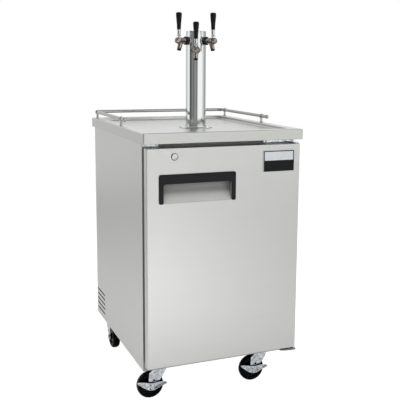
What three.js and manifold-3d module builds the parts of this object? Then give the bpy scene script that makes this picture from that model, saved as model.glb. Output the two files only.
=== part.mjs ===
// A keg cooler on casters that pours kombucha from three taps.
// The frame: millimetres, +X to the right of someone who faces the door, +Y to the back, +Z up.
// The origin lies on the floor, under the middle of the object's box.

import * as THREE from 'three';
import { mergeVertices } from 'three/addons/utils/BufferGeometryUtils.js';
import Module from 'manifold-3d';

const wasm = await Module();
wasm.setup();

// Overall sizes
const worktopWidth = 600;
const worktopDepth = 736;
const worktopTopZ = 977;
const cabinetBottomZ = 132;
const seam = 0.3; // the gap left between two pieces that touch
const overrun = 10; // how far a cutting solid reaches past what it cuts

// Worktop pan
const worktopGauge = 1.5;
const worktopSkirt = 37;
const rimWidth = 38;
const fieldDrop = 12;
const worktopEdgeRadius = 6;
const skirtHollow = 2;
const worktopCornerRadius = 7;
const fieldCornerRadius = 16;
const fieldFootRadius = 5;
const frontFlange = 26;
const lineHoleRadius = 30;

// Cabinet
const cabinetSideInset = 11.5;
const cabinetFrontInset = 49;
const cabinetBackInset = 5;
const sheetGauge = 1;
const frameGauge = 1.2;
const baseGauge = 2;
const wallThickness = 50;
const linerWall = 2;
const linerLipWidth = 8;
const linerLipDepth = 1.5;
const cavityFloorRise = 42;
const cavityTopDrop = 44;
const cavityCornerRadius = 14;
const machineDepth = 241;
const stepHeight = 240;
const stepWall = 36;
const panelReturn = 14;

// Louvres in the side panels
const louvreCount = 5;
const louvreLowestRise = 28;
const louvrePitch = 20.2;
const louvreLength = 128;
const louvreHeight = 5;
const louvreBackInset = 5;
const louvreHoodWidth = 1.6;
const louvreHoodHeight = 3;

// Door
const doorSideInset = 12;
const doorBottomRise = 23;
const doorTopGap = 16;
const doorDepth = 28.6;
const doorGauge = 1.2;
const doorEdgeRadius = 3;
const doorLip = 14;
const doorLinerGauge = 3.5;
const doorLinerInset = 11;
const dikeInset = 17;
const dikeReach = 14;
const dikeCornerRadius = 12;
const dikeFieldInset = 26;
const dikeFieldDrop = 6;
const gasketInset = 12;
const gasketWidth = 18;
const gasketFoot = 5;
const gasketMagnet = 5.5;
const gasketNeckInset = 4;

// Door handle: a frame over a scoop
const handleInset = 43;
const handleWidth = 281;
const handleTopDrop = 87;
const handleHeight = 101;
const handleBar = 33;
const handleLeg = 16;
const handleProud = 4;
const handleCornerRadius = 8;
const handleInnerRadius = 7;
const handleSoften = 1.2;
const gripLipDepth = 7;
const gripLipHeight = 12;
const scoopDepth = 22;
const scoopWall = 1.5;
const scoopOpen = 3;
const scoopBendRadius = 9;

// Badge place, left bare
const badgeInset = 23;
const badgeDrop = 19;
const badgeWidth = 124;
const badgeHeight = 78;
const badgeGauge = 2.2;
const badgeRim = 3;
const badgeRecess = 0.7;
const badgeCornerRadius = 4;

// Key lock
const lockInset = 99;
const lockDrop = 28;
const lockRingRadius = 12.5;
const lockRingProud = 3;
const lockBarrelRadius = 9.5;
const lockBarrelDepth = 14;
const lockPlugRadius = 7.6;
const keySlotWidth = 2;
const keySlotHeight = 9;
const keySlotDepth = 6;
const camBackY = 20;
const camGauge = 3;
const camWidth = 14;
const camReach = 52;
const camClear = 1.4;

// Door hinge and the small plates over and under the door
const hingeInset = 12;
const hingeDepth = 14;
const hingePinRadius = 4;
const hingePinReach = 20;
const hingeRunning = 0.4;
const hingeArmWidth = 24;
const hingeArmGauge = 4;
const hingeDoorGap = 2.2;
const hingeStripGauge = 3;
const hingeStripRise = 13;
const upperHingeLength = 124;
const lowerHingeLength = 69;
const blankPlateLength = 56;
const plateScrewRadius = 3.4;
const plateScrewHead = 1.6;
const plateScrewInset = 9;

// Tap tower
const towerDepth = 301;
const towerTurn = THREE.MathUtils.degToRad(-20.8);
const columnRadius = 38;
const columnWall = 2;
const columnHeight = 360;
const capThickness = 6;
const capChamfer = 1.5;
const capSpigot = 8;
const flangeRadius = 63;
const flangeThickness = 3.2;
const flangeNeckRadius = 41.5;
const flangeNeckHeight = 9;
const flangeScrewCircle = 53;
const flangeScrewRadius = 4;
const flangeScrewHead = 2.2;
const flangeScrewCount = 4;

// Taps, each with the drop from the column's top to the shank's axis
const sideTapDrop = 37;
const centreTapDrop = 71;
const sideTapAngle = THREE.MathUtils.degToRad(46.5);
const shankRadius = 9;
const shankTail = 10;
const shankEnd = 45;
const collarRadius = 15.5;
const collarThickness = 4.5;
const lockNutRadius = 14;
const lockNutThickness = 6;
const couplingRadius = 15.5;
const couplingLength = 11;
const faucetRadius = 11;
const faucetBellyRadius = 13.5;
const faucetNoseRadius = 9;
const faucetReach = 102;
const tapReach = 86;
const turretRadius = 12.5;
const turretTop = 10;
const ballRadius = 6;
const ballDrop = 6;
const ballClear = 0.8;
const leverRadius = 3.6;
const leverMouthAngle = THREE.MathUtils.degToRad(34);
const ferruleBottom = 17;
const ferruleTop = 40;
const ferruleFootRadius = 5.2;
const ferruleHeadRadius = 7.6;
const tapHandleHeight = 61.5;
const tapHandleFootRadius = 7.4;
const tapHandleHeadRadius = 11;
const tapHandleDome = 4;
const handleWaistShare = 0.33;
const handleSwellShare = 0.25;
const spoutRadius = 8.2;
const spoutTipRadius = 6.6;
const spoutBoreRadius = 4.4;
const spoutBoreDepth = 18;
const spoutLength = 37;
const spoutLean = THREE.MathUtils.degToRad(9);
const spoutInset = 9;

// Guard rail
const railRadius = 6.4;
const railCapRadius = 7.6;
const railCapLength = 12;
const railHeight = 25;
const railInset = 14;
const railBackInset = 16;
const railEndDepth = 265;
const railBendRadius = 30;
const railPostRadius = 5;
const railFootRadius = 8;
const railFootHeight = 3;
const railKnuckleRadius = 8.6;
const railKnuckleLength = 16;
const frontPostSet = 53;
const backPostInset = 46;

// Casters
const wheelRadius = 49;
const wheelWidth = 30;
const treadRound = 7;
const wheelRecess = 6;
const wheelRimRadius = 34;
const wheelHubRadius = 12;
const axleRadius = 5;
const axleNutRadius = 9;
const axleNutHeight = 6;
const casterTrail = 41;
const forkGauge = 2.5;
const forkClear = 2.5;
const forkCrownDrop = 10;
const forkCrownGauge = 4;
const forkCrownHalf = 29;
const forkKingHole = 7;
const forkBossRadius = 13;
const forkBossStart = THREE.MathUtils.degToRad(200);
const forkBossEnd = THREE.MathUtils.degToRad(392);
const forkKneeSet = -1;
const forkKneeDrop = 51;
const forkHeelSet = 49.5;
const forkHeelDrop = 38;
const casterPlateLength = 92;
const casterPlateWidth = 66;
const casterPlateGauge = 3;
const casterPlateCorner = 8;
const casterBoltRadius = 5;
const casterBoltHead = 4;
const casterBoltInset = 11;
const racewayRadius = 26;
const kingPinRadius = 6.5;
const kingPinHead = 10;
const kingPinHeadHeight = 3;
const frontCasterInset = 85.5;
const frontCasterDepth = 118;
const rearCasterInset = 44.5;
const rearCasterBackInset = 65;
const pedalReach = 50;
const pedalRise = 9;
const pedalDrop = 25;
const pedalGauge = 2.5;
const pedalFlange = 15;
const pedalHubRadius = 9;

// Machine compartment
const grilleColumns = 2;
const grilleRows = 9;
const grilleSlotHeight = 5;
const grilleSideMargin = 34;
const grilleColumnGap = 26;
const grilleBottomMargin = 62;
const grilleTopMargin = 22;
const compressorInset = 168.5;
const compressorRadius = 68;
const compressorHeight = 168;
const compressorSeamRise = 84;
const compressorSeamProud = 5;
const compressorPlateLength = 196;
const compressorPlateWidth = 150;
const compressorPlateGauge = 3;
const compressorFootRadius = 12;
const compressorFootHeight = 14;
const compressorFootInset = 18;
const compressorBoxWidth = 50;
const compressorBoxDepth = 26;
const compressorBoxHeight = 60;
const compressorStubRadius = 4;
const compressorStubReach = 34;
const condenserInset = 26.5;
const condenserThickness = 40;
const condenserSideMargin = 14;
const condenserHeight = 226;
const condenserFinCount = 10;
const condenserFinGauge = 1.5;
const condenserTubeRadius = 4;
const condenserTubeRows = 3;
const fanRadius = 70;
const fanHubRadius = 17;
const fanHubLength = 16;
const fanBlades = 5;
const fanBladeGauge = 1.6;
const fanPitch = THREE.MathUtils.degToRad(24);
const fanTip = 3;
const bladeRootShare = 0.8;
const bladeTrailShares = [-0.42, 0.88];
const bladeBackShares = [-0.5, 0.6];
const bladeLeadShares = [0.16, 0.6];
const bladeTipFrom = THREE.MathUtils.degToRad(116);
const bladeTipTo = THREE.MathUtils.degToRad(66);
const shroudGauge = 2;
const shroudRing = 22;
const shroudArmWidth = 8;
const shroudArmCount = 4;
const motorRadius = 22;
const motorLength = 34;
const motorGap = 5;
const motorNose = 9;
const shaftRadius = 3;
const shaftReach = 12;

// Evaporator cover on the cavity's back wall
const coverWidth = 340;
const coverHeight = 240;
const coverDepth = 60;
const coverDrop = 70;
const coverWall = 2.5;
const coverEdgeRadius = 10;
const coverSlots = 5;
const coverSlotHeight = 5;
const coverSlotPitch = 13;
const coverSlotLength = 110;
const coldFanRadius = 46;
const coldFanX = -80;
const coldFanRise = 132;
const coldFanHubRadius = 14;
const coldFanHubLength = 12;
const coldMotorRadius = 15;
const coldMotorLength = 22;
const coldArmWidth = 6;
const coldArmCount = 3;
const coldArmStartShare = 0.25;
const guardBarGauge = 2.5;
const knobX = 96;
const knobRise = 175;
const knobRadius = 17;
const knobGripRadius = 13;
const knobLength = 15;
const knobShaftRadius = 3;
const knobDialGauge = 2;
const knobDialRadius = 23;
const knobPointer = 2;

// Power inlet on the grille
const inletInset = 74.5;
const inletRise = 34;
const inletFlangeWidth = 50;
const inletFlangeHeight = 26;
const inletFlangeGauge = 3;
const inletBodyWidth = 30;
const inletBodyHeight = 22;
const inletBodyDepth = 24;
const inletWall = 3;
const inletRecess = 16;
const inletPinRadius = 1.6;
const inletPinSpread = 7;
const inletPinLength = 12;

// How finely round things are cut
const fineSides = 22;
const wheelSides = 20;
const railSides = 8;
const roundSides = 16;
const smallSides = 12;
const tinySides = 8;
const nutSides = 6;
const cornerSteps = 2;
const softSteps = 2;
const slotSteps = 2;
const legSteps = 6;
const ballRings = 6;
const squareSteps = 1;

// Places worked out from the sizes above
const worktopFrontY = -worktopDepth / 2 + handleProud / 2;
const worktopBackY = worktopFrontY + worktopDepth;
const fieldZ = worktopTopZ - fieldDrop;
const skirtBottomZ = worktopTopZ - worktopSkirt;
const cabinetHalf = worktopWidth / 2 - cabinetSideInset;
const cabinetFrontY = worktopFrontY + cabinetFrontInset;
const cabinetBackY = worktopBackY - cabinetBackInset;
const deckZ = fieldZ - worktopGauge - seam;
const panelTopZ = skirtBottomZ - seam;
const cavityHalf = cabinetHalf - wallThickness;
const doorBottomZ = cabinetBottomZ + doorBottomRise;
const doorTopZ = skirtBottomZ - doorTopGap;
const cavityFloorZ = doorBottomZ + cavityFloorRise;
const cavityTopZ = doorTopZ - cavityTopDrop;
const cavityBackY = cabinetBackY - sheetGauge - wallThickness;
const stepFrontY = cabinetBackY - machineDepth;
const stepTopZ = cavityFloorZ + stepHeight;
const machineFrontY = stepFrontY + stepWall;
const machineTopZ = stepTopZ - stepWall;
const baseTopZ = cabinetBottomZ + baseGauge;
const doorHalf = worktopWidth / 2 - doorSideInset;
const doorFrontY = worktopFrontY;
const handleLeftX = -doorHalf + handleInset;
const handleBottomZ = doorTopZ - handleTopDrop - handleHeight;
const badgeLeftX = doorHalf - badgeInset - badgeWidth;
const badgeBottomZ = doorTopZ - badgeDrop - badgeHeight;
const lockX = -doorHalf + lockInset;
const lockZ = doorTopZ - lockDrop;
const doorBackY = doorFrontY + doorDepth;
const doorLinerY = doorBackY + seam;
const gasketFrontY = doorLinerY + doorLinerGauge + seam;
const gasketBackY = cabinetFrontY - seam;
const hingeX = doorHalf - hingeInset;
const hingeY = doorFrontY + hingeDepth;
const hingeStripY = cabinetFrontY - seam - hingeStripGauge;
const towerY = worktopFrontY + towerDepth;
const compressorX = cabinetHalf - compressorInset;
const condenserLeftX = -cabinetHalf + condenserInset;
const inletX = cabinetHalf - inletInset;
const inletZ = cabinetBottomZ + inletRise;
const coverBottomZ = cavityTopZ - coverDrop - coverHeight;
const coldFanZ = coverBottomZ + coldFanRise;
const knobZ = coverBottomZ + knobRise;

// Materials, with the colours that the photograph shows
function finish(hex, roughness, metalness) {
  return new THREE.MeshStandardMaterial({ color: hex, roughness, metalness });
}

const brushedSteel = finish(0xc9c9c6, 0.38, 1);
const polishedSteel = finish(0xd8d9da, 0.08, 1);
const zincPlate = finish(0xb9c0c6, 0.35, 1);
const blackPlastic = finish(0x24252a, 0.42, 0);
const blackRubber = finish(0x0d0d0e, 0.7, 0);
const greyRubber = finish(0x3a3b3d, 0.75, 0);
const whitePlastic = finish(0xe9eae8, 0.45, 0);
const foamYellow = finish(0xe8dcae, 0.9, 0);
const galvanised = finish(0xa6abad, 0.45, 1);
const blackPaint = finish(0x17181a, 0.4, 0);
const aluminium = finish(0xcfd2d4, 0.3, 1);
const fanGrey = finish(0x4a4d52, 0.5, 0);
const badgeFinish = finish(0xdcdedf, 0.3, 0.6);

// Solids and what is made from them

function solid(geometry) {
  const bare = geometry.index ? geometry.toNonIndexed() : geometry.clone();
  bare.deleteAttribute('normal');
  bare.deleteAttribute('uv');
  const merged = mergeVertices(bare, 1e-4);
  const vertProperties = new Float32Array(merged.attributes.position.array);
  const triVerts = new Uint32Array(merged.index.array);
  return new wasm.Manifold(new wasm.Mesh({ numProp: 3, vertProperties, triVerts }));
}

function surface(body) {
  const mesh = body.getMesh();
  const geometry = new THREE.BufferGeometry();
  const corners = new Float32Array(mesh.vertProperties);
  geometry.setAttribute('position', new THREE.BufferAttribute(corners, 3));
  geometry.setIndex(new THREE.BufferAttribute(new Uint32Array(mesh.triVerts), 1));
  return geometry;
}

function piece(name, body, material) {
  const geometry = body.isBufferGeometry ? body : surface(body);
  const mesh = new THREE.Mesh(geometry, material);
  mesh.name = name;
  return mesh;
}

function join(parts) {
  let whole = parts[0];
  for (const part of parts.slice(1)) {
    whole = whole.add(part);
  }
  return whole;
}

function cut(body, tools) {
  let rest = body;
  for (const tool of tools) {
    rest = rest.subtract(tool);
  }
  return rest;
}

// A block between two values on each axis
function block(x0, x1, y0, y1, z0, z1) {
  const geometry = new THREE.BoxGeometry(x1 - x0, y1 - y0, z1 - z0);
  geometry.translate((x0 + x1) / 2, (y0 + y1) / 2, (z0 + z1) / 2);
  return solid(geometry);
}

// A round bar along one axis, from one value on that axis to another
function bar(axis, radius, from, to, a, b, sides = smallSides) {
  const geometry = new THREE.CylinderGeometry(radius, radius, to - from, sides);
  const middle = (from + to) / 2;
  if (axis === 'x') {
    geometry.rotateZ(-Math.PI / 2);
    geometry.translate(middle, a, b);
  }
  if (axis === 'y') {
    geometry.translate(a, middle, b);
  }
  if (axis === 'z') {
    geometry.rotateX(Math.PI / 2);
    geometry.translate(a, b, middle);
  }
  return solid(geometry);
}

// A body turned about the Z axis from [radius, height] pairs
function turned(profile, sides = roundSides) {
  const points = profile.map(([radius, height]) => new THREE.Vector2(radius, height));
  const geometry = new THREE.LatheGeometry(points, sides);
  geometry.rotateX(Math.PI / 2);
  return geometry;
}

// The outline of a rectangle with round corners
function roundedRectangle(x0, x1, y0, y1, radius) {
  const shape = new THREE.Shape();
  const quarter = Math.PI / 2;
  shape.moveTo(x0 + radius, y0);
  shape.lineTo(x1 - radius, y0);
  shape.absarc(x1 - radius, y0 + radius, radius, -quarter, 0);
  shape.lineTo(x1, y1 - radius);
  shape.absarc(x1 - radius, y1 - radius, radius, 0, quarter);
  shape.lineTo(x0 + radius, y1);
  shape.absarc(x0 + radius, y1 - radius, radius, quarter, 2 * quarter);
  shape.lineTo(x0, y0 + radius);
  shape.absarc(x0 + radius, y0 + radius, radius, 2 * quarter, 3 * quarter);
  return shape;
}

// An outline from corner points, each corner rounded off by one radius
function roundedOutline(points, radius) {
  const shape = new THREE.Shape();
  points.forEach((corner, index) => {
    const at = new THREE.Vector2(...corner);
    const before = new THREE.Vector2(...points[(index + points.length - 1) % points.length]);
    const after = new THREE.Vector2(...points[(index + 1) % points.length]);
    const start = before.sub(at).setLength(radius).add(at);
    const end = after.sub(at).setLength(radius).add(at);
    if (index === 0) {
      shape.moveTo(start.x, start.y);
    } else {
      shape.lineTo(start.x, start.y);
    }
    shape.quadraticCurveTo(at.x, at.y, end.x, end.y);
  });
  shape.closePath();
  return shape;
}

// Extrusions of an outline: drawn in XY and raised in Z, drawn in XZ and run in Y, drawn in YZ and run in X
function raised(shape, from, to, steps = cornerSteps) {
  const depth = to - from;
  const geometry = new THREE.ExtrudeGeometry(shape, { depth, bevelEnabled: false, curveSegments: steps });
  geometry.translate(0, 0, from);
  return solid(geometry);
}

function runInY(shape, from, to, steps = cornerSteps) {
  const depth = to - from;
  const geometry = new THREE.ExtrudeGeometry(shape, { depth, bevelEnabled: false, curveSegments: steps });
  geometry.rotateX(Math.PI / 2);
  geometry.translate(0, to, 0);
  return solid(geometry);
}

function runInX(shape, from, to, steps = cornerSteps) {
  const depth = to - from;
  const geometry = new THREE.ExtrudeGeometry(shape, { depth, bevelEnabled: false, curveSegments: steps });
  geometry.rotateX(Math.PI / 2);
  geometry.rotateZ(Math.PI / 2);
  geometry.translate(from, 0, 0);
  return solid(geometry);
}

// A slab with round corners and softened long edges at both faces
function softSlab(x0, x1, y0, y1, z0, z1, corner, soft) {
  const inner = Math.max(corner - soft, soft / 2);
  const shape = roundedRectangle(x0 + soft, x1 - soft, y0 + soft, y1 - soft, inner);
  const geometry = new THREE.ExtrudeGeometry(shape, {
    depth: z1 - z0 - 2 * soft,
    bevelEnabled: true,
    bevelThickness: soft,
    bevelSize: soft,
    bevelSegments: softSteps,
    curveSegments: cornerSteps,
  });
  geometry.translate(0, 0, z0 + soft);
  return geometry;
}

// The same slab standing up: its thickness runs in Y, and its outline lies in XZ
function softPanel(x0, x1, y0, y1, z0, z1, corner, soft) {
  const geometry = softSlab(x0, x1, z0, z1, -y1, -y0, corner, soft);
  geometry.rotateX(Math.PI / 2);
  return solid(geometry);
}

// A slot with round ends, drawn level
function slotOutline(x0, x1, middle, height) {
  const shape = new THREE.Shape();
  const radius = height / 2;
  const quarter = Math.PI / 2;
  shape.absarc(x1 - radius, middle, radius, -quarter, quarter);
  shape.absarc(x0 + radius, middle, radius, quarter, 3 * quarter);
  return shape;
}

// Worktop: one pan with a raised rim, a skirt and a flange turned in below it
function makeWorktop() {
  const half = worktopWidth / 2;
  const lowest = skirtBottomZ - overrun;
  const outer = solid(
    softSlab(-half, half, worktopFrontY, worktopBackY, lowest, worktopTopZ, worktopCornerRadius, worktopEdgeRadius),
  );
  const below = block(-worktopWidth, worktopWidth, -worktopDepth, worktopDepth, lowest - overrun, skirtBottomZ);
  const under = block(
    -half + skirtHollow,
    half - skirtHollow,
    worktopFrontY + skirtHollow,
    worktopBackY - skirtHollow,
    skirtBottomZ + worktopGauge,
    worktopTopZ - skirtHollow,
  );
  const dish = solid(
    softSlab(
      -half + rimWidth,
      half - rimWidth,
      worktopFrontY + rimWidth,
      worktopBackY - rimWidth,
      fieldZ,
      worktopTopZ + overrun,
      fieldCornerRadius,
      fieldFootRadius,
    ),
  );
  const dishBack = raised(
    roundedRectangle(
      -half + rimWidth - worktopGauge,
      half - rimWidth + worktopGauge,
      worktopFrontY + rimWidth - worktopGauge,
      worktopBackY - rimWidth + worktopGauge,
      fieldCornerRadius + worktopGauge,
    ),
    fieldZ - worktopGauge,
    worktopTopZ,
  );
  const mouth = block(
    -cabinetHalf - seam,
    cabinetHalf + seam,
    worktopFrontY + frontFlange,
    cabinetBackY + seam,
    skirtBottomZ - overrun,
    skirtBottomZ + overrun,
  );
  const lineHole = bar('z', lineHoleRadius, fieldZ - overrun, fieldZ + overrun, 0, towerY, roundSides);
  return cut(outer, [below, dish, under.subtract(dishBack), mouth, lineHole, camSlot()]);
}

// The way that the lock's cam sweeps through the door's top and the worktop's flange
function camSlot() {
  return block(
    lockX - camWidth / 2 - camClear,
    lockX + camReach + camClear,
    doorFrontY + camBackY - camGauge - camClear,
    doorFrontY + camBackY + camClear,
    lockZ - camWidth / 2 - camClear,
    skirtBottomZ + overrun,
  );
}

// Cabinet shell

function makeFaceFrame() {
  const hole = cavityHalf + linerWall + seam;
  const plate = block(-cabinetHalf, cabinetHalf, cabinetFrontY, cabinetFrontY + frameGauge, cabinetBottomZ, deckZ);
  const mouth = block(
    -hole,
    hole,
    cabinetFrontY - overrun,
    cabinetFrontY + overrun,
    cavityFloorZ - linerWall - seam,
    cavityTopZ + linerWall + seam,
  );
  return plate.subtract(mouth);
}

// A side panel ends below the worktop's flange. Side is -1 for the left one and 1 for the right one
function makeSidePanel(side) {
  const frontY = cabinetFrontY + frameGauge + seam;
  const skinIn = cabinetHalf - sheetGauge;
  const sideBlock = (near, far, y0, y1) => block(
    Math.min(side * near, side * far),
    Math.max(side * near, side * far),
    y0,
    y1,
    cabinetBottomZ,
    panelTopZ,
  );
  const skin = sideBlock(skinIn, cabinetHalf, frontY, cabinetBackY);
  const lip = sideBlock(cabinetHalf - panelReturn, cabinetHalf, frontY, frontY + sheetGauge);
  const parts = [skin, lip];
  const slots = [];
  const backEnd = cabinetBackY - louvreBackInset;
  for (let index = 0; index < louvreCount; index += 1) {
    const level = cabinetBottomZ + louvreLowestRise + index * louvrePitch;
    const shape = slotOutline(backEnd - louvreLength, backEnd, level, louvreHeight);
    slots.push(runInX(shape, side * skinIn - overrun, side * skinIn + overrun, slotSteps));
    const hoodTop = level + louvreHeight / 2 + louvreHoodHeight;
    const hood = new THREE.Shape();
    hood.moveTo(side * skinIn, hoodTop);
    hood.lineTo(side * skinIn, hoodTop - louvreHoodHeight);
    hood.lineTo(side * (skinIn - louvreHoodWidth), level - louvreHeight / 2);
    hood.lineTo(side * (skinIn - louvreHoodWidth), hoodTop - louvreHoodHeight);
    parts.push(runInY(hood, backEnd - louvreLength + louvreHeight, backEnd - louvreHeight));
  }
  return cut(join(parts), slots);
}

function makeBackPanel() {
  const half = cabinetHalf - sheetGauge - seam;
  const bottom = machineTopZ + seam;
  return block(-half, half, cabinetBackY - sheetGauge, cabinetBackY, bottom, panelTopZ);
}

function makeRearGrille() {
  const half = cabinetHalf - sheetGauge - seam;
  const bottom = cabinetBottomZ;
  const top = machineTopZ;
  const sheet = block(-half, half, cabinetBackY - sheetGauge, cabinetBackY, bottom, top);
  const slots = [];
  const span = (2 * half - 2 * grilleSideMargin - (grilleColumns - 1) * grilleColumnGap) / grilleColumns;
  const lift = (top - bottom - grilleBottomMargin - grilleTopMargin) / (grilleRows - 1);
  for (let column = 0; column < grilleColumns; column += 1) {
    const left = -half + grilleSideMargin + column * (span + grilleColumnGap);
    for (let row = 0; row < grilleRows; row += 1) {
      const level = bottom + grilleBottomMargin + row * lift;
      slots.push(
        block(
          left,
          left + span,
          cabinetBackY - overrun,
          cabinetBackY + overrun,
          level - grilleSlotHeight / 2,
          level + grilleSlotHeight / 2,
        ),
      );
    }
  }
  const hole = block(
    inletX - inletBodyWidth / 2 - seam,
    inletX + inletBodyWidth / 2 + seam,
    cabinetBackY - overrun,
    cabinetBackY + overrun,
    inletZ - inletBodyHeight / 2 - seam,
    inletZ + inletBodyHeight / 2 + seam,
  );
  return cut(sheet, [...slots, hole]);
}

function makeBasePan() {
  const half = cabinetHalf - sheetGauge - seam;
  const front = cabinetFrontY + frameGauge + 2 * seam + sheetGauge;
  const back = cabinetBackY - sheetGauge - seam;
  const plate = block(-half, half, front, back, cabinetBottomZ, baseTopZ);
  const slots = [];
  for (let index = 0; index < louvreCount; index += 1) {
    const level = machineFrontY + louvrePitch * (index + 2);
    const shape = slotOutline(
      compressorX - compressorRadius,
      compressorX + compressorRadius,
      level,
      louvreHeight,
    );
    slots.push(raised(shape, cabinetBottomZ - overrun, baseTopZ + overrun, squareSteps));
  }
  return cut(plate, slots);
}

// The keg space seen from the side, grown by a wall where asked
function cavityOutline(grow, front) {
  return roundedOutline(
    [
      [front, cavityFloorZ - grow],
      [stepFrontY + grow, cavityFloorZ - grow],
      [stepFrontY + grow, stepTopZ - grow],
      [cavityBackY + grow, stepTopZ - grow],
      [cavityBackY + grow, cavityTopZ + grow],
      [front, cavityTopZ + grow],
    ],
    cavityCornerRadius,
  );
}

function cavitySolid(grow) {
  const front = cabinetFrontY - cavityCornerRadius - overrun;
  return runInX(cavityOutline(grow, front), -cavityHalf - grow, cavityHalf + grow);
}

function makeFoam() {
  const half = cabinetHalf - sheetGauge - 2 * seam;
  const front = cabinetFrontY + frameGauge + 2 * seam + sheetGauge;
  const back = cabinetBackY - sheetGauge - seam;
  const top = deckZ - sheetGauge - seam;
  const whole = block(-half, half, front, back, baseTopZ + seam, top);
  const machine = block(
    -worktopWidth,
    worktopWidth,
    machineFrontY,
    back + overrun,
    baseTopZ - overrun,
    machineTopZ,
  );
  const lineHole = bar('z', lineHoleRadius, cavityTopZ - overrun, top + overrun, 0, towerY, roundSides);
  return cut(whole, [cavitySolid(linerWall + seam), machine, lineHole]);
}

function makeLiner() {
  const shell = cavitySolid(linerWall);
  const lipOuter = cavityHalf + linerWall + linerLipWidth;
  const lipShape = roundedRectangle(
    -lipOuter,
    lipOuter,
    cavityFloorZ - linerWall - linerLipWidth,
    cavityTopZ + linerWall + linerLipWidth,
    cavityCornerRadius,
  );
  const lipBack = cabinetFrontY - seam;
  const lip = runInY(lipShape, lipBack - linerLipDepth, lipBack);
  const ahead = block(
    -worktopWidth,
    worktopWidth,
    cabinetFrontY - worktopDepth,
    lipBack - linerLipDepth,
    0,
    worktopTopZ,
  );
  const lineHole = bar('z', lineHoleRadius, cavityTopZ - overrun, deckZ, 0, towerY, roundSides);
  return cut(join([shell.subtract(ahead), lip]), [cavitySolid(0), lineHole]);
}

// Door

function makeDoorPanel() {
  const outer = softPanel(
    -doorHalf,
    doorHalf,
    doorFrontY,
    doorBackY + overrun,
    doorBottomZ,
    doorTopZ,
    doorEdgeRadius,
    doorEdgeRadius,
  );
  const behind = block(-worktopWidth, worktopWidth, doorBackY, worktopDepth, 0, worktopTopZ);
  const inside = block(
    -doorHalf + doorGauge,
    doorHalf - doorGauge,
    doorFrontY + doorGauge,
    doorBackY - doorGauge,
    doorBottomZ + doorGauge,
    doorTopZ - doorGauge,
  );
  const backHole = block(
    -doorHalf + doorLip,
    doorHalf - doorLip,
    doorBackY - overrun,
    doorBackY + overrun,
    doorBottomZ + doorLip,
    doorTopZ - doorLip,
  );
  const lockHole = bar('y', lockBarrelRadius + seam, doorFrontY - overrun, doorFrontY + overrun, lockX, lockZ);
  return cut(outer, [behind, inside, backHole, lockHole, scoopSolid(scoopWall + seam), camSlot(), pinHoles()]);
}

function pinHoles() {
  const radius = hingePinRadius + hingeRunning;
  const upper = doorTopZ - hingePinReach;
  const lower = doorBottomZ + hingePinReach;
  return join([
    bar('z', radius, upper - overrun / 2, doorTopZ + overrun, hingeX, hingeY),
    bar('z', radius, doorBottomZ - overrun, lower + overrun / 2, hingeX, hingeY),
  ]);
}

function makeDoorCore() {
  const core = block(
    -doorHalf + doorGauge + seam,
    doorHalf - doorGauge - seam,
    doorFrontY + doorGauge + seam,
    doorBackY - doorGauge - seam,
    doorBottomZ + doorGauge + seam,
    doorTopZ - doorGauge - seam,
  );
  const barrel = bar('y', lockBarrelRadius + seam, doorFrontY, doorFrontY + camBackY, lockX, lockZ);
  return cut(core, [scoopSolid(scoopWall + seam), barrel, camSlot(), pinHoles()]);
}

function makeDoorLiner() {
  const half = doorHalf - doorLinerInset;
  const plateBack = doorLinerY + doorLinerGauge;
  const plate = block(
    -half,
    half,
    doorLinerY,
    plateBack,
    doorBottomZ + doorLinerInset,
    doorTopZ - doorLinerInset,
  );
  const dikeHalf = cavityHalf - dikeInset;
  const dikeBottom = cavityFloorZ + dikeInset;
  const dikeTop = cavityTopZ - dikeInset;
  const dikeBack = cabinetFrontY + dikeReach;
  const dike = softPanel(
    -dikeHalf,
    dikeHalf,
    doorLinerY,
    dikeBack,
    dikeBottom,
    dikeTop,
    dikeCornerRadius,
    dikeCornerRadius / 2,
  );
  const field = softPanel(
    -dikeHalf + dikeFieldInset,
    dikeHalf - dikeFieldInset,
    dikeBack - dikeFieldDrop,
    dikeBack + overrun * 2,
    dikeBottom + dikeFieldInset,
    dikeTop - dikeFieldInset,
    dikeCornerRadius,
    dikeFieldDrop / 2,
  );
  return join([plate, dike]).subtract(field);
}

function makeGasket() {
  const ring = (inset, width, from, to) => {
    const outer = block(
      -doorHalf + inset,
      doorHalf - inset,
      from,
      to,
      doorBottomZ + inset,
      doorTopZ - inset,
    );
    const far = inset + width;
    const inner = block(
      -doorHalf + far,
      doorHalf - far,
      from - overrun,
      to + overrun,
      doorBottomZ + far,
      doorTopZ - far,
    );
    return outer.subtract(inner);
  };
  const neckInset = gasketInset + gasketNeckInset;
  const neckWidth = gasketWidth - 2 * gasketNeckInset;
  return join([
    ring(gasketInset, gasketWidth, gasketFrontY, gasketFrontY + gasketFoot),
    ring(neckInset, neckWidth, gasketFrontY, gasketBackY),
    ring(gasketInset, gasketWidth, gasketBackY - gasketMagnet, gasketBackY),
  ]);
}

// The scoop's hollow, grown by a wall where asked: fingers go up behind the bar
function scoopSolid(grow) {
  const left = handleLeftX + handleLeg - grow;
  const right = handleLeftX + handleWidth - handleLeg + grow;
  const front = doorFrontY - overrun;
  const back = doorFrontY + scoopDepth + grow;
  const bottom = handleBottomZ + scoopOpen - grow;
  const top = handleBottomZ + handleHeight - scoopBendRadius + grow;
  const shape = new THREE.Shape();
  shape.moveTo(front, bottom);
  shape.lineTo(doorFrontY, bottom);
  shape.bezierCurveTo(
    doorFrontY + scoopDepth / 2,
    bottom + scoopOpen,
    back,
    bottom + scoopDepth,
    back,
    bottom + 2 * scoopDepth,
  );
  shape.lineTo(back, top - scoopBendRadius);
  shape.quadraticCurveTo(back, top, back - scoopBendRadius, top);
  shape.lineTo(front, top);
  shape.closePath();
  return runInX(shape, left, right, 2 * cornerSteps);
}

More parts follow.
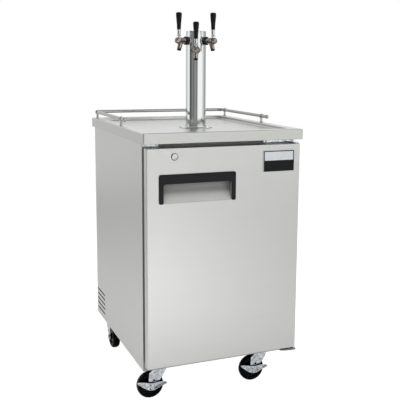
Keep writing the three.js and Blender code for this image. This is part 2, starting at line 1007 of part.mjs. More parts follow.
function makeScoop() {
  const ahead = block(-worktopWidth, worktopWidth, -worktopDepth, doorFrontY, 0, worktopTopZ);
  return cut(scoopSolid(scoopWall), [ahead, scoopSolid(0)]);
}

function makeHandleFrame() {
  const right = handleLeftX + handleWidth;
  const top = handleBottomZ + handleHeight;
  const faceY = doorFrontY - handleProud;
  const seatY = doorFrontY - seam;
  const outer = softPanel(
    handleLeftX,
    right,
    faceY,
    seatY + overrun,
    handleBottomZ - handleCornerRadius,
    top,
    handleCornerRadius,
    handleSoften,
  );
  const hole = roundedRectangle(
    handleLeftX + handleLeg,
    right - handleLeg,
    handleBottomZ - 2 * handleCornerRadius,
    top - handleBar,
    handleInnerRadius,
  );
  const window = runInY(hole, faceY - overrun, seatY + 2 * overrun);
  const behind = block(-worktopWidth, worktopWidth, seatY, worktopDepth, 0, worktopTopZ);
  const below = block(-worktopWidth, worktopWidth, -worktopDepth, worktopDepth, 0, handleBottomZ);
  const frame = cut(outer, [window, behind, below]);
  const lipBottom = top - handleBar;
  const lip = block(
    handleLeftX + handleLeg + seam,
    right - handleLeg - seam,
    faceY + handleSoften,
    doorFrontY + gripLipDepth,
    lipBottom,
    lipBottom + gripLipHeight,
  );
  return join([frame, lip]);
}

function makeBadgePlate() {
  const right = badgeLeftX + badgeWidth;
  const top = badgeBottomZ + badgeHeight;
  const faceY = doorFrontY - seam - badgeGauge;
  const outline = roundedRectangle(badgeLeftX, right, badgeBottomZ, top, badgeCornerRadius);
  const plate = runInY(outline, faceY, doorFrontY - seam);
  const recess = roundedRectangle(
    badgeLeftX + badgeRim,
    right - badgeRim,
    badgeBottomZ + badgeHeight / 2,
    top - badgeRim,
    badgeCornerRadius / 2,
  );
  return plate.subtract(runInY(recess, faceY - overrun, faceY + badgeRecess));
}

function makeLockHousing() {
  const bore = lockPlugRadius + seam;
  const ringFront = -lockRingProud - seam;
  const profile = [
    [bore, ringFront],
    [lockRingRadius - lockRingProud / 2, ringFront],
    [lockRingRadius, ringFront + lockRingProud / 2],
    [lockRingRadius, -seam],
    [lockBarrelRadius, -seam],
    [lockBarrelRadius, lockBarrelDepth],
    [bore, lockBarrelDepth],
    [bore, ringFront],
  ];
  const geometry = turned(profile, smallSides);
  geometry.rotateX(-Math.PI / 2);
  geometry.translate(lockX, doorFrontY, lockZ);
  return solid(geometry);
}

function makeLockPlug() {
  const front = doorFrontY - lockRingProud - seam;
  const back = doorFrontY + camBackY;
  const plug = bar('y', lockPlugRadius, front, back, lockX, lockZ, roundSides);
  const key = block(
    lockX - keySlotWidth / 2,
    lockX + keySlotWidth / 2,
    front - overrun,
    front + keySlotDepth,
    lockZ - keySlotHeight / 2,
    lockZ + keySlotHeight / 2,
  );
  const outline = slotOutline(lockX - camWidth / 2, lockX + camReach, lockZ, camWidth);
  return join([plug.subtract(key), runInY(outline, back - camGauge, back)]);
}

// Strips on the cabinet's front: one helper for the two hinge brackets and the blank plate

function screwedStrip(x0, x1, z0) {
  const strip = block(x0, x1, hingeStripY, hingeStripY + hingeStripGauge, z0, z0 + hingeStripRise);
  const middle = z0 + hingeStripRise / 2;
  const heads = [x0 + plateScrewInset, x1 - plateScrewInset].map((x) => bar(
    'y',
    plateScrewRadius,
    hingeStripY - plateScrewHead,
    hingeStripY + plateScrewHead,
    x,
    middle,
    tinySides,
  ));
  return join([strip, ...heads]);
}

function hingeArm(z0) {
  const left = hingeX - hingeArmWidth / 2;
  const shape = new THREE.Shape();
  const quarter = Math.PI / 2;
  shape.moveTo(left, hingeStripY + hingeStripGauge);
  shape.lineTo(left, hingeY);
  shape.absarc(hingeX, hingeY, hingeArmWidth / 2, 2 * quarter, 4 * quarter);
  shape.lineTo(left + hingeArmWidth, hingeStripY + hingeStripGauge);
  return raised(shape, z0, z0 + hingeArmGauge, 2 * cornerSteps);
}

function makeUpperHinge() {
  const bottom = doorTopZ + hingeDoorGap;
  const right = hingeX + hingeArmWidth / 2;
  const pin = bar('z', hingePinRadius, doorTopZ - hingePinReach, bottom + seam, hingeX, hingeY);
  return join([screwedStrip(right - upperHingeLength, right, bottom), hingeArm(bottom), pin]);
}

function makeLowerHinge() {
  const top = doorBottomZ - hingeDoorGap;
  const right = hingeX + hingeArmWidth / 2;
  const pin = bar('z', hingePinRadius, top - seam, doorBottomZ + hingePinReach, hingeX, hingeY);
  const strip = screwedStrip(right - lowerHingeLength, right, top - hingeStripRise);
  return join([strip, hingeArm(top - hingeArmGauge), pin]);
}

function makeBlankPlate() {
  return screwedStrip(-doorHalf, -doorHalf + blankPlateLength, doorTopZ + hingeDoorGap);
}

// Guard rail: a tube bent round the back corners, on four posts

function makeGuardRail() {
  const sideX = worktopWidth / 2 - railInset;
  const backY = worktopBackY - railBackInset;
  const endY = worktopFrontY + railEndDepth;
  const height = worktopTopZ + railHeight;
  const bendY = backY - railBendRadius;
  const bendX = sideX - railBendRadius;
  const runs = [bar('x', railRadius, -bendX, bendX, backY, height, railSides)];
  for (const side of [-1, 1]) {
    runs.push(bar('y', railRadius, endY, bendY, side * sideX, height, railSides));
    runs.push(bar('y', railCapRadius, endY, endY + railCapLength, side * sideX, height, railSides));
    const ring = new THREE.TorusGeometry(railBendRadius, railRadius, railSides, roundSides);
    ring.translate(side * bendX, bendY, height);
    const far = side * (sideX + overrun);
    const corner = block(
      Math.min(side * bendX, far),
      Math.max(side * bendX, far),
      bendY,
      backY + overrun,
      height - overrun,
      height + overrun,
    );
    runs.push(solid(ring).intersect(corner));
  }
  const tube = join(runs);
  const foot = worktopTopZ + seam;
  const posts = [];
  for (const side of [-1, 1]) {
    for (const y of [endY + frontPostSet, worktopBackY - backPostInset]) {
      const x = side * sideX;
      posts.push(bar('z', railPostRadius, foot, height, x, y, tinySides));
      posts.push(bar('z', railFootRadius, foot, foot + railFootHeight, x, y, smallSides));
      posts.push(
        bar('y', railKnuckleRadius, y - railKnuckleLength / 2, y + railKnuckleLength / 2, x, height, railSides),
      );
    }
  }
  return join([tube, ...posts]);
}

// Tower, in its own frame: the column's axis is Z, and the worktop's field is at zero

function makeTowerFlange() {
  const bore = columnRadius + seam;
  const profile = [
    [bore, seam],
    [flangeRadius, seam],
    [flangeRadius, flangeThickness - capChamfer],
    [flangeRadius - capChamfer, flangeThickness],
    [flangeNeckRadius, flangeThickness],
    [flangeNeckRadius - capChamfer, flangeNeckHeight],
    [bore, flangeNeckHeight],
    [bore, seam],
  ];
  const parts = [solid(turned(profile, fineSides))];
  for (let index = 0; index < flangeScrewCount; index += 1) {
    const angle = (index + 0.5) * 2 * Math.PI / flangeScrewCount;
    const x = flangeScrewCircle * Math.cos(angle);
    const y = flangeScrewCircle * Math.sin(angle);
    parts.push(
      bar('z', flangeScrewRadius, flangeThickness / 2, flangeThickness + flangeScrewHead, x, y, tinySides),
    );
  }
  return join(parts);
}

function makeColumn() {
  const top = columnHeight - capThickness - seam;
  const inner = columnRadius - columnWall;
  const profile = [
    [inner, seam],
    [columnRadius, seam],
    [columnRadius, top],
    [inner, top],
    [inner, seam],
  ];
  const holes = tapPlaces.map(({ angle, height }) => {
    const geometry = new THREE.CylinderGeometry(
      shankRadius + seam,
      shankRadius + seam,
      columnRadius + overrun,
      smallSides,
    );
    geometry.rotateZ(Math.PI / 2);
    geometry.translate((columnRadius + overrun) / 2, 0, height);
    geometry.rotateZ(angle);
    return solid(geometry);
  });
  return cut(solid(turned(profile, fineSides)), holes);
}

function makeTowerCap() {
  const spigot = columnRadius - columnWall - seam;
  const bottom = columnHeight - capThickness;
  const profile = [
    [0, bottom - capSpigot],
    [spigot, bottom - capSpigot],
    [spigot, bottom],
    [columnRadius, bottom],
    [columnRadius, columnHeight - capChamfer],
    [columnRadius - capChamfer, columnHeight],
    [0, columnHeight],
  ];
  return solid(turned(profile, fineSides));
}

// Taps, each in its own frame: X runs out from the column's axis along the shank, Z is up

const frontAngle = -Math.PI / 2;
const tapPlaces = [
  { name: 'left', angle: frontAngle - sideTapAngle, height: columnHeight - sideTapDrop },
  { name: 'centre', angle: frontAngle, height: columnHeight - centreTapDrop },
  { name: 'right', angle: frontAngle + sideTapAngle, height: columnHeight - sideTapDrop },
];

// Lays a body that was turned about Z along the shank
function alongShank(geometry) {
  geometry.rotateY(Math.PI / 2);
  return solid(geometry);
}

function makeShank() {
  const seat = columnRadius + seam;
  const profile = [
    [0, shankTail],
    [shankRadius, shankTail],
    [shankRadius, seat],
    [collarRadius, seat],
    [collarRadius, seat + collarThickness - capChamfer],
    [collarRadius - capChamfer, seat + collarThickness],
    [shankRadius, seat + collarThickness],
    [shankRadius, shankEnd],
    [0, shankEnd],
  ];
  const inner = columnRadius - columnWall;
  const nutFace = Math.sqrt(inner * inner - lockNutRadius * lockNutRadius) - seam;
  const nut = bar('x', lockNutRadius, nutFace - lockNutThickness, nutFace, 0, 0, nutSides);
  return join([alongShank(turned(profile, smallSides)), nut]);
}

function makeFaucet() {
  const start = shankEnd + seam;
  const couplingEnd = start + couplingLength;
  const profile = [
    [0, start],
    [couplingRadius - capChamfer, start],
    [couplingRadius, start + capChamfer],
    [couplingRadius, couplingEnd],
    [faucetRadius, couplingEnd],
    [faucetRadius, tapReach - faucetBellyRadius],
    [faucetBellyRadius - capChamfer, tapReach - faucetRadius / 2],
    [faucetBellyRadius - capChamfer, tapReach + faucetRadius / 2],
    [faucetNoseRadius, faucetReach - faucetNoseRadius / 2],
    [faucetNoseRadius / 2, faucetReach],
    [0, faucetReach],
  ];
  const barrel = alongShank(turned(profile, smallSides));
  const turret = bar('z', turretRadius, 0, turretTop, tapReach, 0, smallSides);
  const spout = new THREE.CylinderGeometry(spoutRadius, spoutTipRadius, spoutLength, smallSides);
  const bore = new THREE.CylinderGeometry(
    spoutBoreRadius,
    spoutBoreRadius,
    spoutBoreDepth + overrun,
    tinySides,
  );
  spout.rotateX(Math.PI / 2);
  spout.translate(0, 0, -spoutLength / 2);
  bore.rotateX(Math.PI / 2);
  bore.translate(0, 0, -spoutLength - (overrun - spoutBoreDepth) / 2);
  for (const geometry of [spout, bore]) {
    geometry.rotateY(-spoutLean);
    geometry.translate(tapReach - spoutInset, 0, 0);
  }
  const ballZ = turretTop - ballDrop;
  const socket = new THREE.SphereGeometry(ballRadius + ballClear, smallSides, ballRings);
  socket.rotateX(Math.PI / 2);
  socket.translate(tapReach, 0, ballZ);
  const mouthHeight = ballDrop + overrun;
  const throatRadius = leverRadius + ballClear;
  const mouthRadius = throatRadius + mouthHeight * Math.tan(leverMouthAngle);
  const mouth = new THREE.CylinderGeometry(mouthRadius, throatRadius, mouthHeight, tinySides);
  mouth.rotateX(Math.PI / 2);
  mouth.translate(tapReach, 0, ballZ + mouthHeight / 2);
  return cut(join([barrel, turret, solid(spout)]), [solid(bore), solid(socket), solid(mouth)]);
}

function makeLever() {
  const ballZ = turretTop - ballDrop;
  const ball = new THREE.SphereGeometry(ballRadius, smallSides, ballRings);
  ball.rotateX(Math.PI / 2);
  ball.translate(tapReach, 0, ballZ);
  const profile = [
    [0, ballZ],
    [leverRadius, ballZ],
    [leverRadius, ferruleBottom],
    [ferruleFootRadius, ferruleBottom],
    [ferruleHeadRadius, ferruleTop - capChamfer * 2],
    [ferruleHeadRadius, ferruleTop],
    [0, ferruleTop],
  ];
  const stem = turned(profile, smallSides);
  stem.translate(tapReach, 0, 0);
  return join([solid(ball), solid(stem)]);
}

function makeTapHandle() {
  const bottom = ferruleTop + seam;
  const top = ferruleTop + tapHandleHeight;
  const waist = bottom + (top - bottom) * handleWaistShare;
  const profile = [
    [0, bottom],
    [tapHandleFootRadius - capChamfer, bottom],
    [tapHandleFootRadius, bottom + capChamfer],
    [THREE.MathUtils.lerp(tapHandleFootRadius, tapHandleHeadRadius, handleSwellShare), waist],
    [tapHandleHeadRadius, top - 2 * tapHandleDome],
    [tapHandleHeadRadius - capChamfer, top - tapHandleDome],
    [tapHandleHeadRadius / 2, top - capChamfer / 2],
    [0, top],
  ];
  const geometry = turned(profile, smallSides);
  geometry.translate(tapReach, 0, 0);
  return solid(geometry);
}

// Casters, each in its own frame: the swivel's axis is Z, zero is the cabinet's underside, the wheel trails to +X

const axleZ = wheelRadius - cabinetBottomZ;
const legInner = wheelWidth / 2 + forkClear;

function makeCasterPlate() {
  const halfLength = casterPlateLength / 2;
  const halfWidth = casterPlateWidth / 2;
  const shape = roundedRectangle(-halfLength, halfLength, -halfWidth, halfWidth, casterPlateCorner);
  const top = -seam;
  const parts = [raised(shape, top - casterPlateGauge, top)];
  for (const sx of [-1, 1]) {
    for (const sy of [-1, 1]) {
      parts.push(
        bar(
          'z',
          casterBoltRadius,
          top - casterPlateGauge - casterBoltHead,
          top - casterPlateGauge / 2,
          sx * (halfLength - casterBoltInset),
          sy * (halfWidth - casterBoltInset),
          nutSides,
        ),
      );
    }
  }
  const under = top - casterPlateGauge;
  const crownTop = -forkCrownDrop;
  const crownBottom = crownTop - forkCrownGauge;
  const profile = [
    [0, under + casterPlateGauge / 2],
    [racewayRadius, under + casterPlateGauge / 2],
    [racewayRadius - capChamfer * 2, crownTop + seam],
    [kingPinRadius, crownTop + seam],
    [kingPinRadius, crownBottom - seam],
    [kingPinHead, crownBottom - seam],
    [kingPinHead, crownBottom - seam - kingPinHeadHeight],
    [0, crownBottom - seam - kingPinHeadHeight],
  ].reverse();
  parts.push(solid(turned(profile, smallSides)));
  return join(parts);
}

function makeFork() {
  const crownTop = -forkCrownDrop;
  const crownBottom = crownTop - forkCrownGauge;
  const outer = legInner + forkGauge;
  const crownShape = roundedRectangle(-forkCrownHalf, forkCrownHalf, -outer, outer, casterPlateCorner);
  const kingHole = bar('z', forkKingHole, crownBottom - overrun, crownTop + overrun, 0, 0);
  const parts = [raised(crownShape, crownBottom, crownTop).subtract(kingHole)];
  // A leg: straight down past the axle at the trailing side, slanting in to the axle's boss at the other
  const leg = new THREE.Shape();
  leg.moveTo(-forkCrownHalf + casterPlateCorner, crownTop);
  leg.lineTo(-forkCrownHalf + casterPlateCorner, crownBottom);
  leg.lineTo(forkKneeSet, -forkKneeDrop);
  leg.absarc(casterTrail, axleZ, forkBossRadius, forkBossStart, forkBossEnd);
  leg.lineTo(forkHeelSet, -forkHeelDrop);
  leg.lineTo(forkCrownHalf - casterPlateCorner / 2, crownBottom);
  leg.lineTo(forkCrownHalf - casterPlateCorner / 2, crownTop);
  for (const side of [-1, 1]) {
    const near = side > 0 ? legInner : -outer;
    parts.push(runInY(leg, near, near + forkGauge, legSteps));
  }
  const nutEnd = outer + axleNutHeight;
  parts.push(bar('y', axleRadius, -outer, outer, casterTrail, axleZ, tinySides));
  parts.push(bar('y', axleNutRadius, outer, nutEnd, casterTrail, axleZ, nutSides));
  parts.push(bar('y', axleNutRadius, -nutEnd, -outer, casterTrail, axleZ, nutSides));
  return join(parts);
}

function makeWheel() {
  const half = wheelWidth / 2;
  const bore = axleRadius + seam;
  const recess = half - wheelRecess;
  const side = (sign) => [
    [bore, sign * (half + forkClear - seam)],
    [wheelHubRadius, sign * recess],
    [wheelRimRadius, sign * recess],
    [wheelRimRadius + capChamfer, sign * half],
    [wheelRadius - treadRound, sign * half],
    [wheelRadius, sign * (half - treadRound)],
  ];
  const profile = [...side(-1), ...side(1).reverse(), side(-1)[0]];
  const geometry = turned(profile, wheelSides);
  geometry.rotateX(Math.PI / 2);
  geometry.translate(casterTrail, 0, axleZ);
  return solid(geometry);
}

// Brake pedal, with zero on the axle: a rocking plate on the axle's outer end, with a lip to tread on
function makePedal() {
  const seat = legInner + forkGauge + axleNutHeight + seam;
  const shape = new THREE.Shape();
  const tip = pedalReach;
  shape.moveTo(-tip, pedalRise);
  shape.quadraticCurveTo(-tip / 2, pedalHubRadius, 0, pedalHubRadius);
  shape.quadraticCurveTo(tip / 2, pedalHubRadius, tip, pedalRise);
  shape.lineTo(tip, pedalRise - pedalGauge);
  shape.quadraticCurveTo(tip / 2, -pedalDrop / 2, pedalHubRadius, -pedalDrop);
  shape.lineTo(-pedalHubRadius, -pedalDrop);
  shape.quadraticCurveTo(-tip / 2, -pedalDrop / 2, -tip, pedalRise - pedalGauge);
  shape.closePath();
  const plate = runInY(shape, seat, seat + pedalGauge, 2 * cornerSteps);
  const lip = new THREE.Shape();
  lip.moveTo(-tip, pedalRise - pedalGauge);
  lip.quadraticCurveTo(-tip / 2, -pedalDrop / 2, -pedalHubRadius, -pedalDrop);
  lip.lineTo(pedalHubRadius, -pedalDrop);
  lip.quadraticCurveTo(tip / 2, -pedalDrop / 2, tip, pedalRise - pedalGauge);
  lip.lineTo(tip, pedalRise);
  lip.quadraticCurveTo(tip / 2, -pedalDrop / 2 + pedalGauge, pedalHubRadius, -pedalDrop + pedalGauge);
  lip.lineTo(-pedalHubRadius, -pedalDrop + pedalGauge);
  lip.quadraticCurveTo(-tip / 2, -pedalDrop / 2 + pedalGauge, -tip, pedalRise);
  lip.closePath();
  const tread = runInY(lip, seat, seat + pedalFlange, 2 * cornerSteps);
  return join([plate, tread]);
}

// Machine compartment

const machineMiddleY = (machineFrontY + cabinetBackY) / 2;
const machineFloorZ = baseTopZ + seam;
const condenserMiddleZ = machineFloorZ + condenserHeight / 2;

// Compressor, with zero under its middle
function makeCompressor() {
  const foot = compressorFootHeight;
  const top = foot + compressorPlateGauge + compressorHeight;
  const bottom = foot + compressorPlateGauge / 2;
  const round = compressorRadius / 3;
  const seamZ = foot + compressorSeamRise;
  const profile = [
    [0, bottom],
    [compressorRadius - round, bottom],
    [compressorRadius, bottom + round],
    [compressorRadius, seamZ - compressorSeamProud],
    [compressorRadius + compressorSeamProud, seamZ],
    [compressorRadius, seamZ + compressorSeamProud],
    [compressorRadius, top - round],
    [compressorRadius - round, top - compressorSeamProud],
    [0, top],
  ];
  const halfLength = compressorPlateLength / 2;
  const halfWidth = compressorPlateWidth / 2;
  const plate = roundedRectangle(-halfLength, halfLength, -halfWidth, halfWidth, compressorFootInset);
  const parts = [solid(turned(profile, smallSides)), raised(plate, foot, foot + compressorPlateGauge)];
  for (const sx of [-1, 1]) {
    for (const sy of [-1, 1]) {
      const x = sx * (halfLength - compressorFootInset);
      const y = sy * (halfWidth - compressorFootInset);
      parts.push(bar('z', compressorFootRadius, 0, foot + compressorPlateGauge * 2, x, y, tinySides));
    }
  }
  parts.push(
    block(
      compressorRadius - compressorBoxDepth / 2,
      compressorRadius + compressorBoxDepth,
      -compressorBoxWidth / 2,
      compressorBoxWidth / 2,
      seamZ + compressorSeamProud,
      seamZ + compressorBoxHeight,
    ),
  );
  for (const lift of [-1, 1]) {
    parts.push(
      bar(
        'x',
        compressorStubRadius,
        -compressorRadius - compressorStubReach,
        0,
        lift * compressorBoxWidth / 2,
        seamZ + compressorBoxHeight / 2,
        tinySides,
      ),
    );
  }
  return join(parts);
}

// A comb of fins on both sides of one tube plane, with the tubes' ends standing out
function makeCondenser() {
  const left = condenserLeftX;
  const right = left + condenserThickness;
  const middle = (left + right) / 2;
  const frontY = machineFrontY + condenserSideMargin;
  const backY = cabinetBackY - condenserSideMargin;
  const pitch = (backY - frontY - condenserFinGauge) / (condenserFinCount - 1);
  const shape = new THREE.Shape();
  const near = middle - condenserFinGauge / 2;
  const far = middle + condenserFinGauge / 2;
  shape.moveTo(left, frontY);
  shape.lineTo(right, frontY);
  for (let index = 0; index < condenserFinCount - 1; index += 1) {
    const y = frontY + index * pitch;
    shape.lineTo(right, y + condenserFinGauge);
    shape.lineTo(far, y + condenserFinGauge);
    shape.lineTo(far, y + pitch);
    shape.lineTo(right, y + pitch);
  }
  shape.lineTo(right, backY);
  shape.lineTo(left, backY);
  for (let index = condenserFinCount - 1; index > 0; index -= 1) {
    const y = frontY + index * pitch;
    shape.lineTo(left, y);
    shape.lineTo(near, y);
    shape.lineTo(near, y - pitch + condenserFinGauge);
    shape.lineTo(left, y - pitch + condenserFinGauge);
  }
  shape.closePath();
  const parts = [raised(shape, machineFloorZ, machineFloorZ + condenserHeight)];
  const rise = condenserHeight / condenserTubeRows;
  for (let row = 0; row < condenserTubeRows; row += 1) {
    const z = machineFloorZ + rise * (row + 0.5);
    const end = condenserSideMargin / 2;
    parts.push(bar('y', condenserTubeRadius, frontY - end, frontY + condenserFinGauge, middle, z, nutSides));
    parts.push(bar('y', condenserTubeRadius, backY - condenserFinGauge, backY + end, middle, z, nutSides));
  }
  return join(parts);
}

// A fan in its own frame: the axis is X, the blades spread in YZ
function fanBody(radius, hubRadius, hubLength, bladeGauge) {
  const hub = bar('x', hubRadius, 0, hubLength, 0, 0);
  const shaft = bar('x', shaftRadius, 0, hubLength + shaftReach, 0, 0, tinySides);
  const parts = [hub, shaft];
  const outline = new THREE.Shape();
  const root = hubRadius * bladeRootShare;
  const [trailX, trailY] = bladeTrailShares.map((share) => share * radius);
  const [backX, backY] = bladeBackShares.map((share) => share * radius);
  const [leadX, leadY] = bladeLeadShares.map((share) => share * radius);
  outline.moveTo(-root / 2, root / 2);
  outline.quadraticCurveTo(backX, backY, trailX, trailY);
  outline.absarc(0, 0, radius, bladeTipFrom, bladeTipTo, true);
  outline.quadraticCurveTo(leadX, leadY, root / 2, root / 2);
  outline.closePath();
  for (let index = 0; index < fanBlades; index += 1) {
    const blade = new THREE.ExtrudeGeometry(outline, {
      depth: bladeGauge,
      bevelEnabled: false,
      curveSegments: cornerSteps,
    });
    blade.translate(0, 0, -bladeGauge / 2);
    blade.rotateY(fanPitch);
    blade.rotateY(Math.PI / 2);
    blade.translate(hubLength / 2, 0, 0);
    blade.rotateX(index * 2 * Math.PI / fanBlades);
    parts.push(solid(blade));
  }
  return join(parts);
}

const shroudX = condenserLeftX + condenserThickness + seam;
const motorFrontX = shroudX + shroudRing + motorGap;

function makeShroud() {
  const frontY = machineFrontY + condenserSideMargin;
  const backY = cabinetBackY - condenserSideMargin;
  const top = machineFloorZ + condenserHeight;
  const hole = fanRadius + fanTip;
  const plate = block(shroudX, shroudX + shroudGauge, frontY, backY, machineFloorZ, top);
  const ring = bar('x', hole + shroudGauge, shroudX, shroudX + shroudRing, machineMiddleY, condenserMiddleZ);
  const open = bar('x', hole, shroudX - overrun, shroudX + 2 * shroudRing, machineMiddleY, condenserMiddleZ);
  const parts = [plate.add(ring).subtract(open)];
  for (let index = 0; index < shroudArmCount; index += 1) {
    const arm = new THREE.BoxGeometry(shroudGauge * 2, hole + 2 * shroudGauge, shroudArmWidth);
    arm.translate(motorFrontX + motorNose + shroudGauge, hole / 2 + shroudGauge, 0);
    const dropLength = motorGap + motorNose + shroudRing;
    const drop = new THREE.BoxGeometry(dropLength, 2 * shroudGauge, shroudArmWidth);
    drop.translate(motorFrontX + motorNose + shroudGauge - dropLength / 2, hole + shroudGauge, 0);
    for (const geometry of [arm, drop]) {
      geometry.rotateX((index + 0.5) * 2 * Math.PI / shroudArmCount);
      geometry.translate(0, machineMiddleY, condenserMiddleZ);
      parts.push(solid(geometry));
    }
  }
  const motor = bar('x', motorRadius, motorFrontX, motorFrontX + motorLength, machineMiddleY, condenserMiddleZ);
  const bore = bar(
    'x',
    shaftRadius + seam,
    motorFrontX - overrun,
    motorFrontX + shaftReach,
    machineMiddleY,
    condenserMiddleZ,
    tinySides,
  );
  return cut(join([...parts, motor]), [bore]);
}

function makeInlet() {
  const faceY = cabinetBackY + seam + inletFlangeGauge;
  const flange = block(
    inletX - inletFlangeWidth / 2,
    inletX + inletFlangeWidth / 2,
    cabinetBackY + seam,
    faceY,
    inletZ - inletFlangeHeight / 2,
    inletZ + inletFlangeHeight / 2,
  );
  const body = block(
    inletX - inletBodyWidth / 2,
    inletX + inletBodyWidth / 2,
    faceY - inletBodyDepth,
    faceY,
    inletZ - inletBodyHeight / 2,
    inletZ + inletBodyHeight / 2,
  );
  const recess = block(
    inletX - inletBodyWidth / 2 + inletWall,
    inletX + inletBodyWidth / 2 - inletWall,
    faceY - inletRecess,
    faceY + overrun,
    inletZ - inletBodyHeight / 2 + inletWall,
    inletZ + inletBodyHeight / 2 - inletWall,
  );
  const pins = [-1, 0, 1].map((step) => bar(
    'y',
    inletPinRadius,
    faceY - inletRecess - inletWall / 2,
    faceY - inletRecess + inletPinLength,
    inletX + step * inletPinSpread,
    inletZ,
    tinySides,
  ));
  return join([cut(join([flange, body]), [recess]), ...pins]);
}

// Evaporator cover: a moulded box open to the back wall, with a guarded fan opening and air slots

const coverFrontY = cavityBackY - coverDepth;
const coldMotorY = coverFrontY + coverWall + coldFanHubLength + 3 * motorGap;

function makeCover() {
  const half = coverWidth / 2;
  const top = coverBottomZ + coverHeight;
  const back = cavityBackY - seam;
  const outer = softPanel(
    -half,
    half,
    coverFrontY,
    back + coverEdgeRadius,
    coverBottomZ,
    top,
    coverEdgeRadius,
    coverEdgeRadius / 2,
  );
  const inset = 2 * coverWall;
  const inner = block(
    -half + inset,
    half - inset,
    coverFrontY + coverWall,
    back + overrun,
    coverBottomZ + inset,
    top - inset,
  );
  const behind = block(-worktopWidth, worktopWidth, back, worktopDepth, 0, worktopTopZ);
  const tools = [inner, behind];
  tools.push(
    bar('y', coldFanRadius + fanTip, coverFrontY - overrun, coverFrontY + coverWall, coldFanX, coldFanZ, roundSides),
  );
  for (let index = 0; index < coverSlots; index += 1) {
    const level = coverBottomZ + 2 * coverEdgeRadius + index * coverSlotPitch;
    const shape = slotOutline(knobX - coverSlotLength / 2, knobX + coverSlotLength / 2, level, coverSlotHeight);
    tools.push(runInY(shape, coverFrontY - overrun, coverFrontY + overrun, squareSteps));
  }
  tools.push(bar('y', knobShaftRadius + seam, coverFrontY - overrun, coverFrontY + overrun, knobX, knobZ, tinySides));
  const parts = [cut(outer, tools)];
  const reach = coldFanRadius + fanTip + coverWall;
  for (const angle of [0, Math.PI / 4, Math.PI / 2, -Math.PI / 4]) {
    const guard = new THREE.BoxGeometry(2 * reach, coverWall, guardBarGauge);
    guard.rotateY(angle);
    guard.translate(coldFanX, coverFrontY + coverWall / 2, coldFanZ);
    parts.push(solid(guard));
  }
  // The motor hangs on three arms that stand out from the inside of the front wall
  const spokeY = coldMotorY + motorNose / 2;
  for (let index = 0; index < coldArmCount; index += 1) {
    const angle = (index + coldArmStartShare) * 2 * Math.PI / coldArmCount;
    const spoke = new THREE.BoxGeometry(reach + coldArmWidth, coverWall, coldArmWidth);
    spoke.translate((reach + coldArmWidth) / 2, spokeY, 0);
    const stand = new THREE.BoxGeometry(coldArmWidth, spokeY - coverFrontY, coldArmWidth);
    stand.translate(reach + coldArmWidth / 2, (spokeY + coverFrontY) / 2 + coverWall / 2, 0);
    for (const geometry of [spoke, stand]) {
      geometry.rotateY(angle);
      geometry.translate(coldFanX, 0, coldFanZ);
      parts.push(solid(geometry));
    }
  }
  parts.push(bar('y', coldMotorRadius, coldMotorY, coldMotorY + coldMotorLength, coldFanX, coldFanZ));
  const bore = bar('y', shaftRadius + seam, coldMotorY - overrun, coldMotorY + shaftReach, coldFanX, coldFanZ, tinySides);
  return join(parts).subtract(bore);
}

function makeKnob() {
  const frontEnd = coverFrontY - seam;
  const dial = bar('y', knobDialRadius, frontEnd - knobDialGauge, frontEnd, knobX, knobZ, roundSides);
  const grip = bar('y', knobGripRadius, frontEnd - knobLength, frontEnd, knobX, knobZ, roundSides);
  const pointer = block(
    knobX - knobPointer,
    knobX + knobPointer,
    frontEnd - knobLength,
    frontEnd,
    knobZ,
    knobZ + knobRadius,
  );
  const shaft = bar('y', knobShaftRadius, frontEnd - knobDialGauge, coverFrontY + overrun, knobX, knobZ, tinySides);
  return join([dial, grip, pointer, shaft]);
}

// The whole object

const kegerator = new THREE.Group();

kegerator.add(
  piece('worktop', makeWorktop(), brushedSteel),
  piece('face_frame', makeFaceFrame(), brushedSteel),
  piece('side_panel_left', makeSidePanel(-1), brushedSteel),
  piece('side_panel_right', makeSidePanel(1), brushedSteel),
  piece('back_panel', makeBackPanel(), galvanised),
  piece('rear_grille', makeRearGrille(), blackPaint),
  piece('base_pan', makeBasePan(), galvanised),
  piece('insulation_foam', makeFoam(), foamYellow),
  piece('inner_liner', makeLiner(), whitePlastic),
  piece('guard_rail', makeGuardRail(), brushedSteel),
  piece('door_panel', makeDoorPanel(), brushedSteel),
  piece('door_core', makeDoorCore(), foamYellow),
  piece('door_liner', makeDoorLiner(), whitePlastic),
  piece('door_gasket', makeGasket(), greyRubber),
  piece('handle_scoop', makeScoop(), brushedSteel),
  piece('handle_frame', makeHandleFrame(), blackPlastic),
  piece('badge_plate', makeBadgePlate(), badgeFinish),
  piece('lock_housing', makeLockHousing(), polishedSteel),
  piece('lock_plug', makeLockPlug(), polishedSteel),
  piece('upper_hinge', makeUpperHinge(), zincPlate),
  piece('lower_hinge', makeLowerHinge(), zincPlate),
  piece('blank_plate', makeBlankPlate(), zincPlate),
  piece('condenser', makeCondenser(), aluminium),
  piece('condenser_shroud', makeShroud(), blackPaint),
  piece('power_inlet', makeInlet(), blackPlastic),
  piece('evaporator_cover', makeCover(), whitePlastic),
  piece('thermostat_knob', makeKnob(), blackPlastic),
);

const compressor = piece('compressor', makeCompressor(), blackPaint);
compressor.position.set(compressorX, machineMiddleY, machineFloorZ);
kegerator.add(compressor);

const condenserFan = piece('condenser_fan', fanBody(fanRadius, fanHubRadius, fanHubLength, fanBladeGauge), fanGrey);
condenserFan.position.set(motorFrontX - seam - fanHubLength, machineMiddleY, condenserMiddleZ);
kegerator.add(condenserFan);

const coldFan = piece(
  'evaporator_fan',
  fanBody(coldFanRadius, coldFanHubRadius, coldFanHubLength, fanBladeGauge),
  fanGrey,
);
coldFan.rotation.z = Math.PI / 2;
coldFan.position.set(coldFanX, coldMotorY - seam - coldFanHubLength, coldFanZ);
kegerator.add(coldFan);

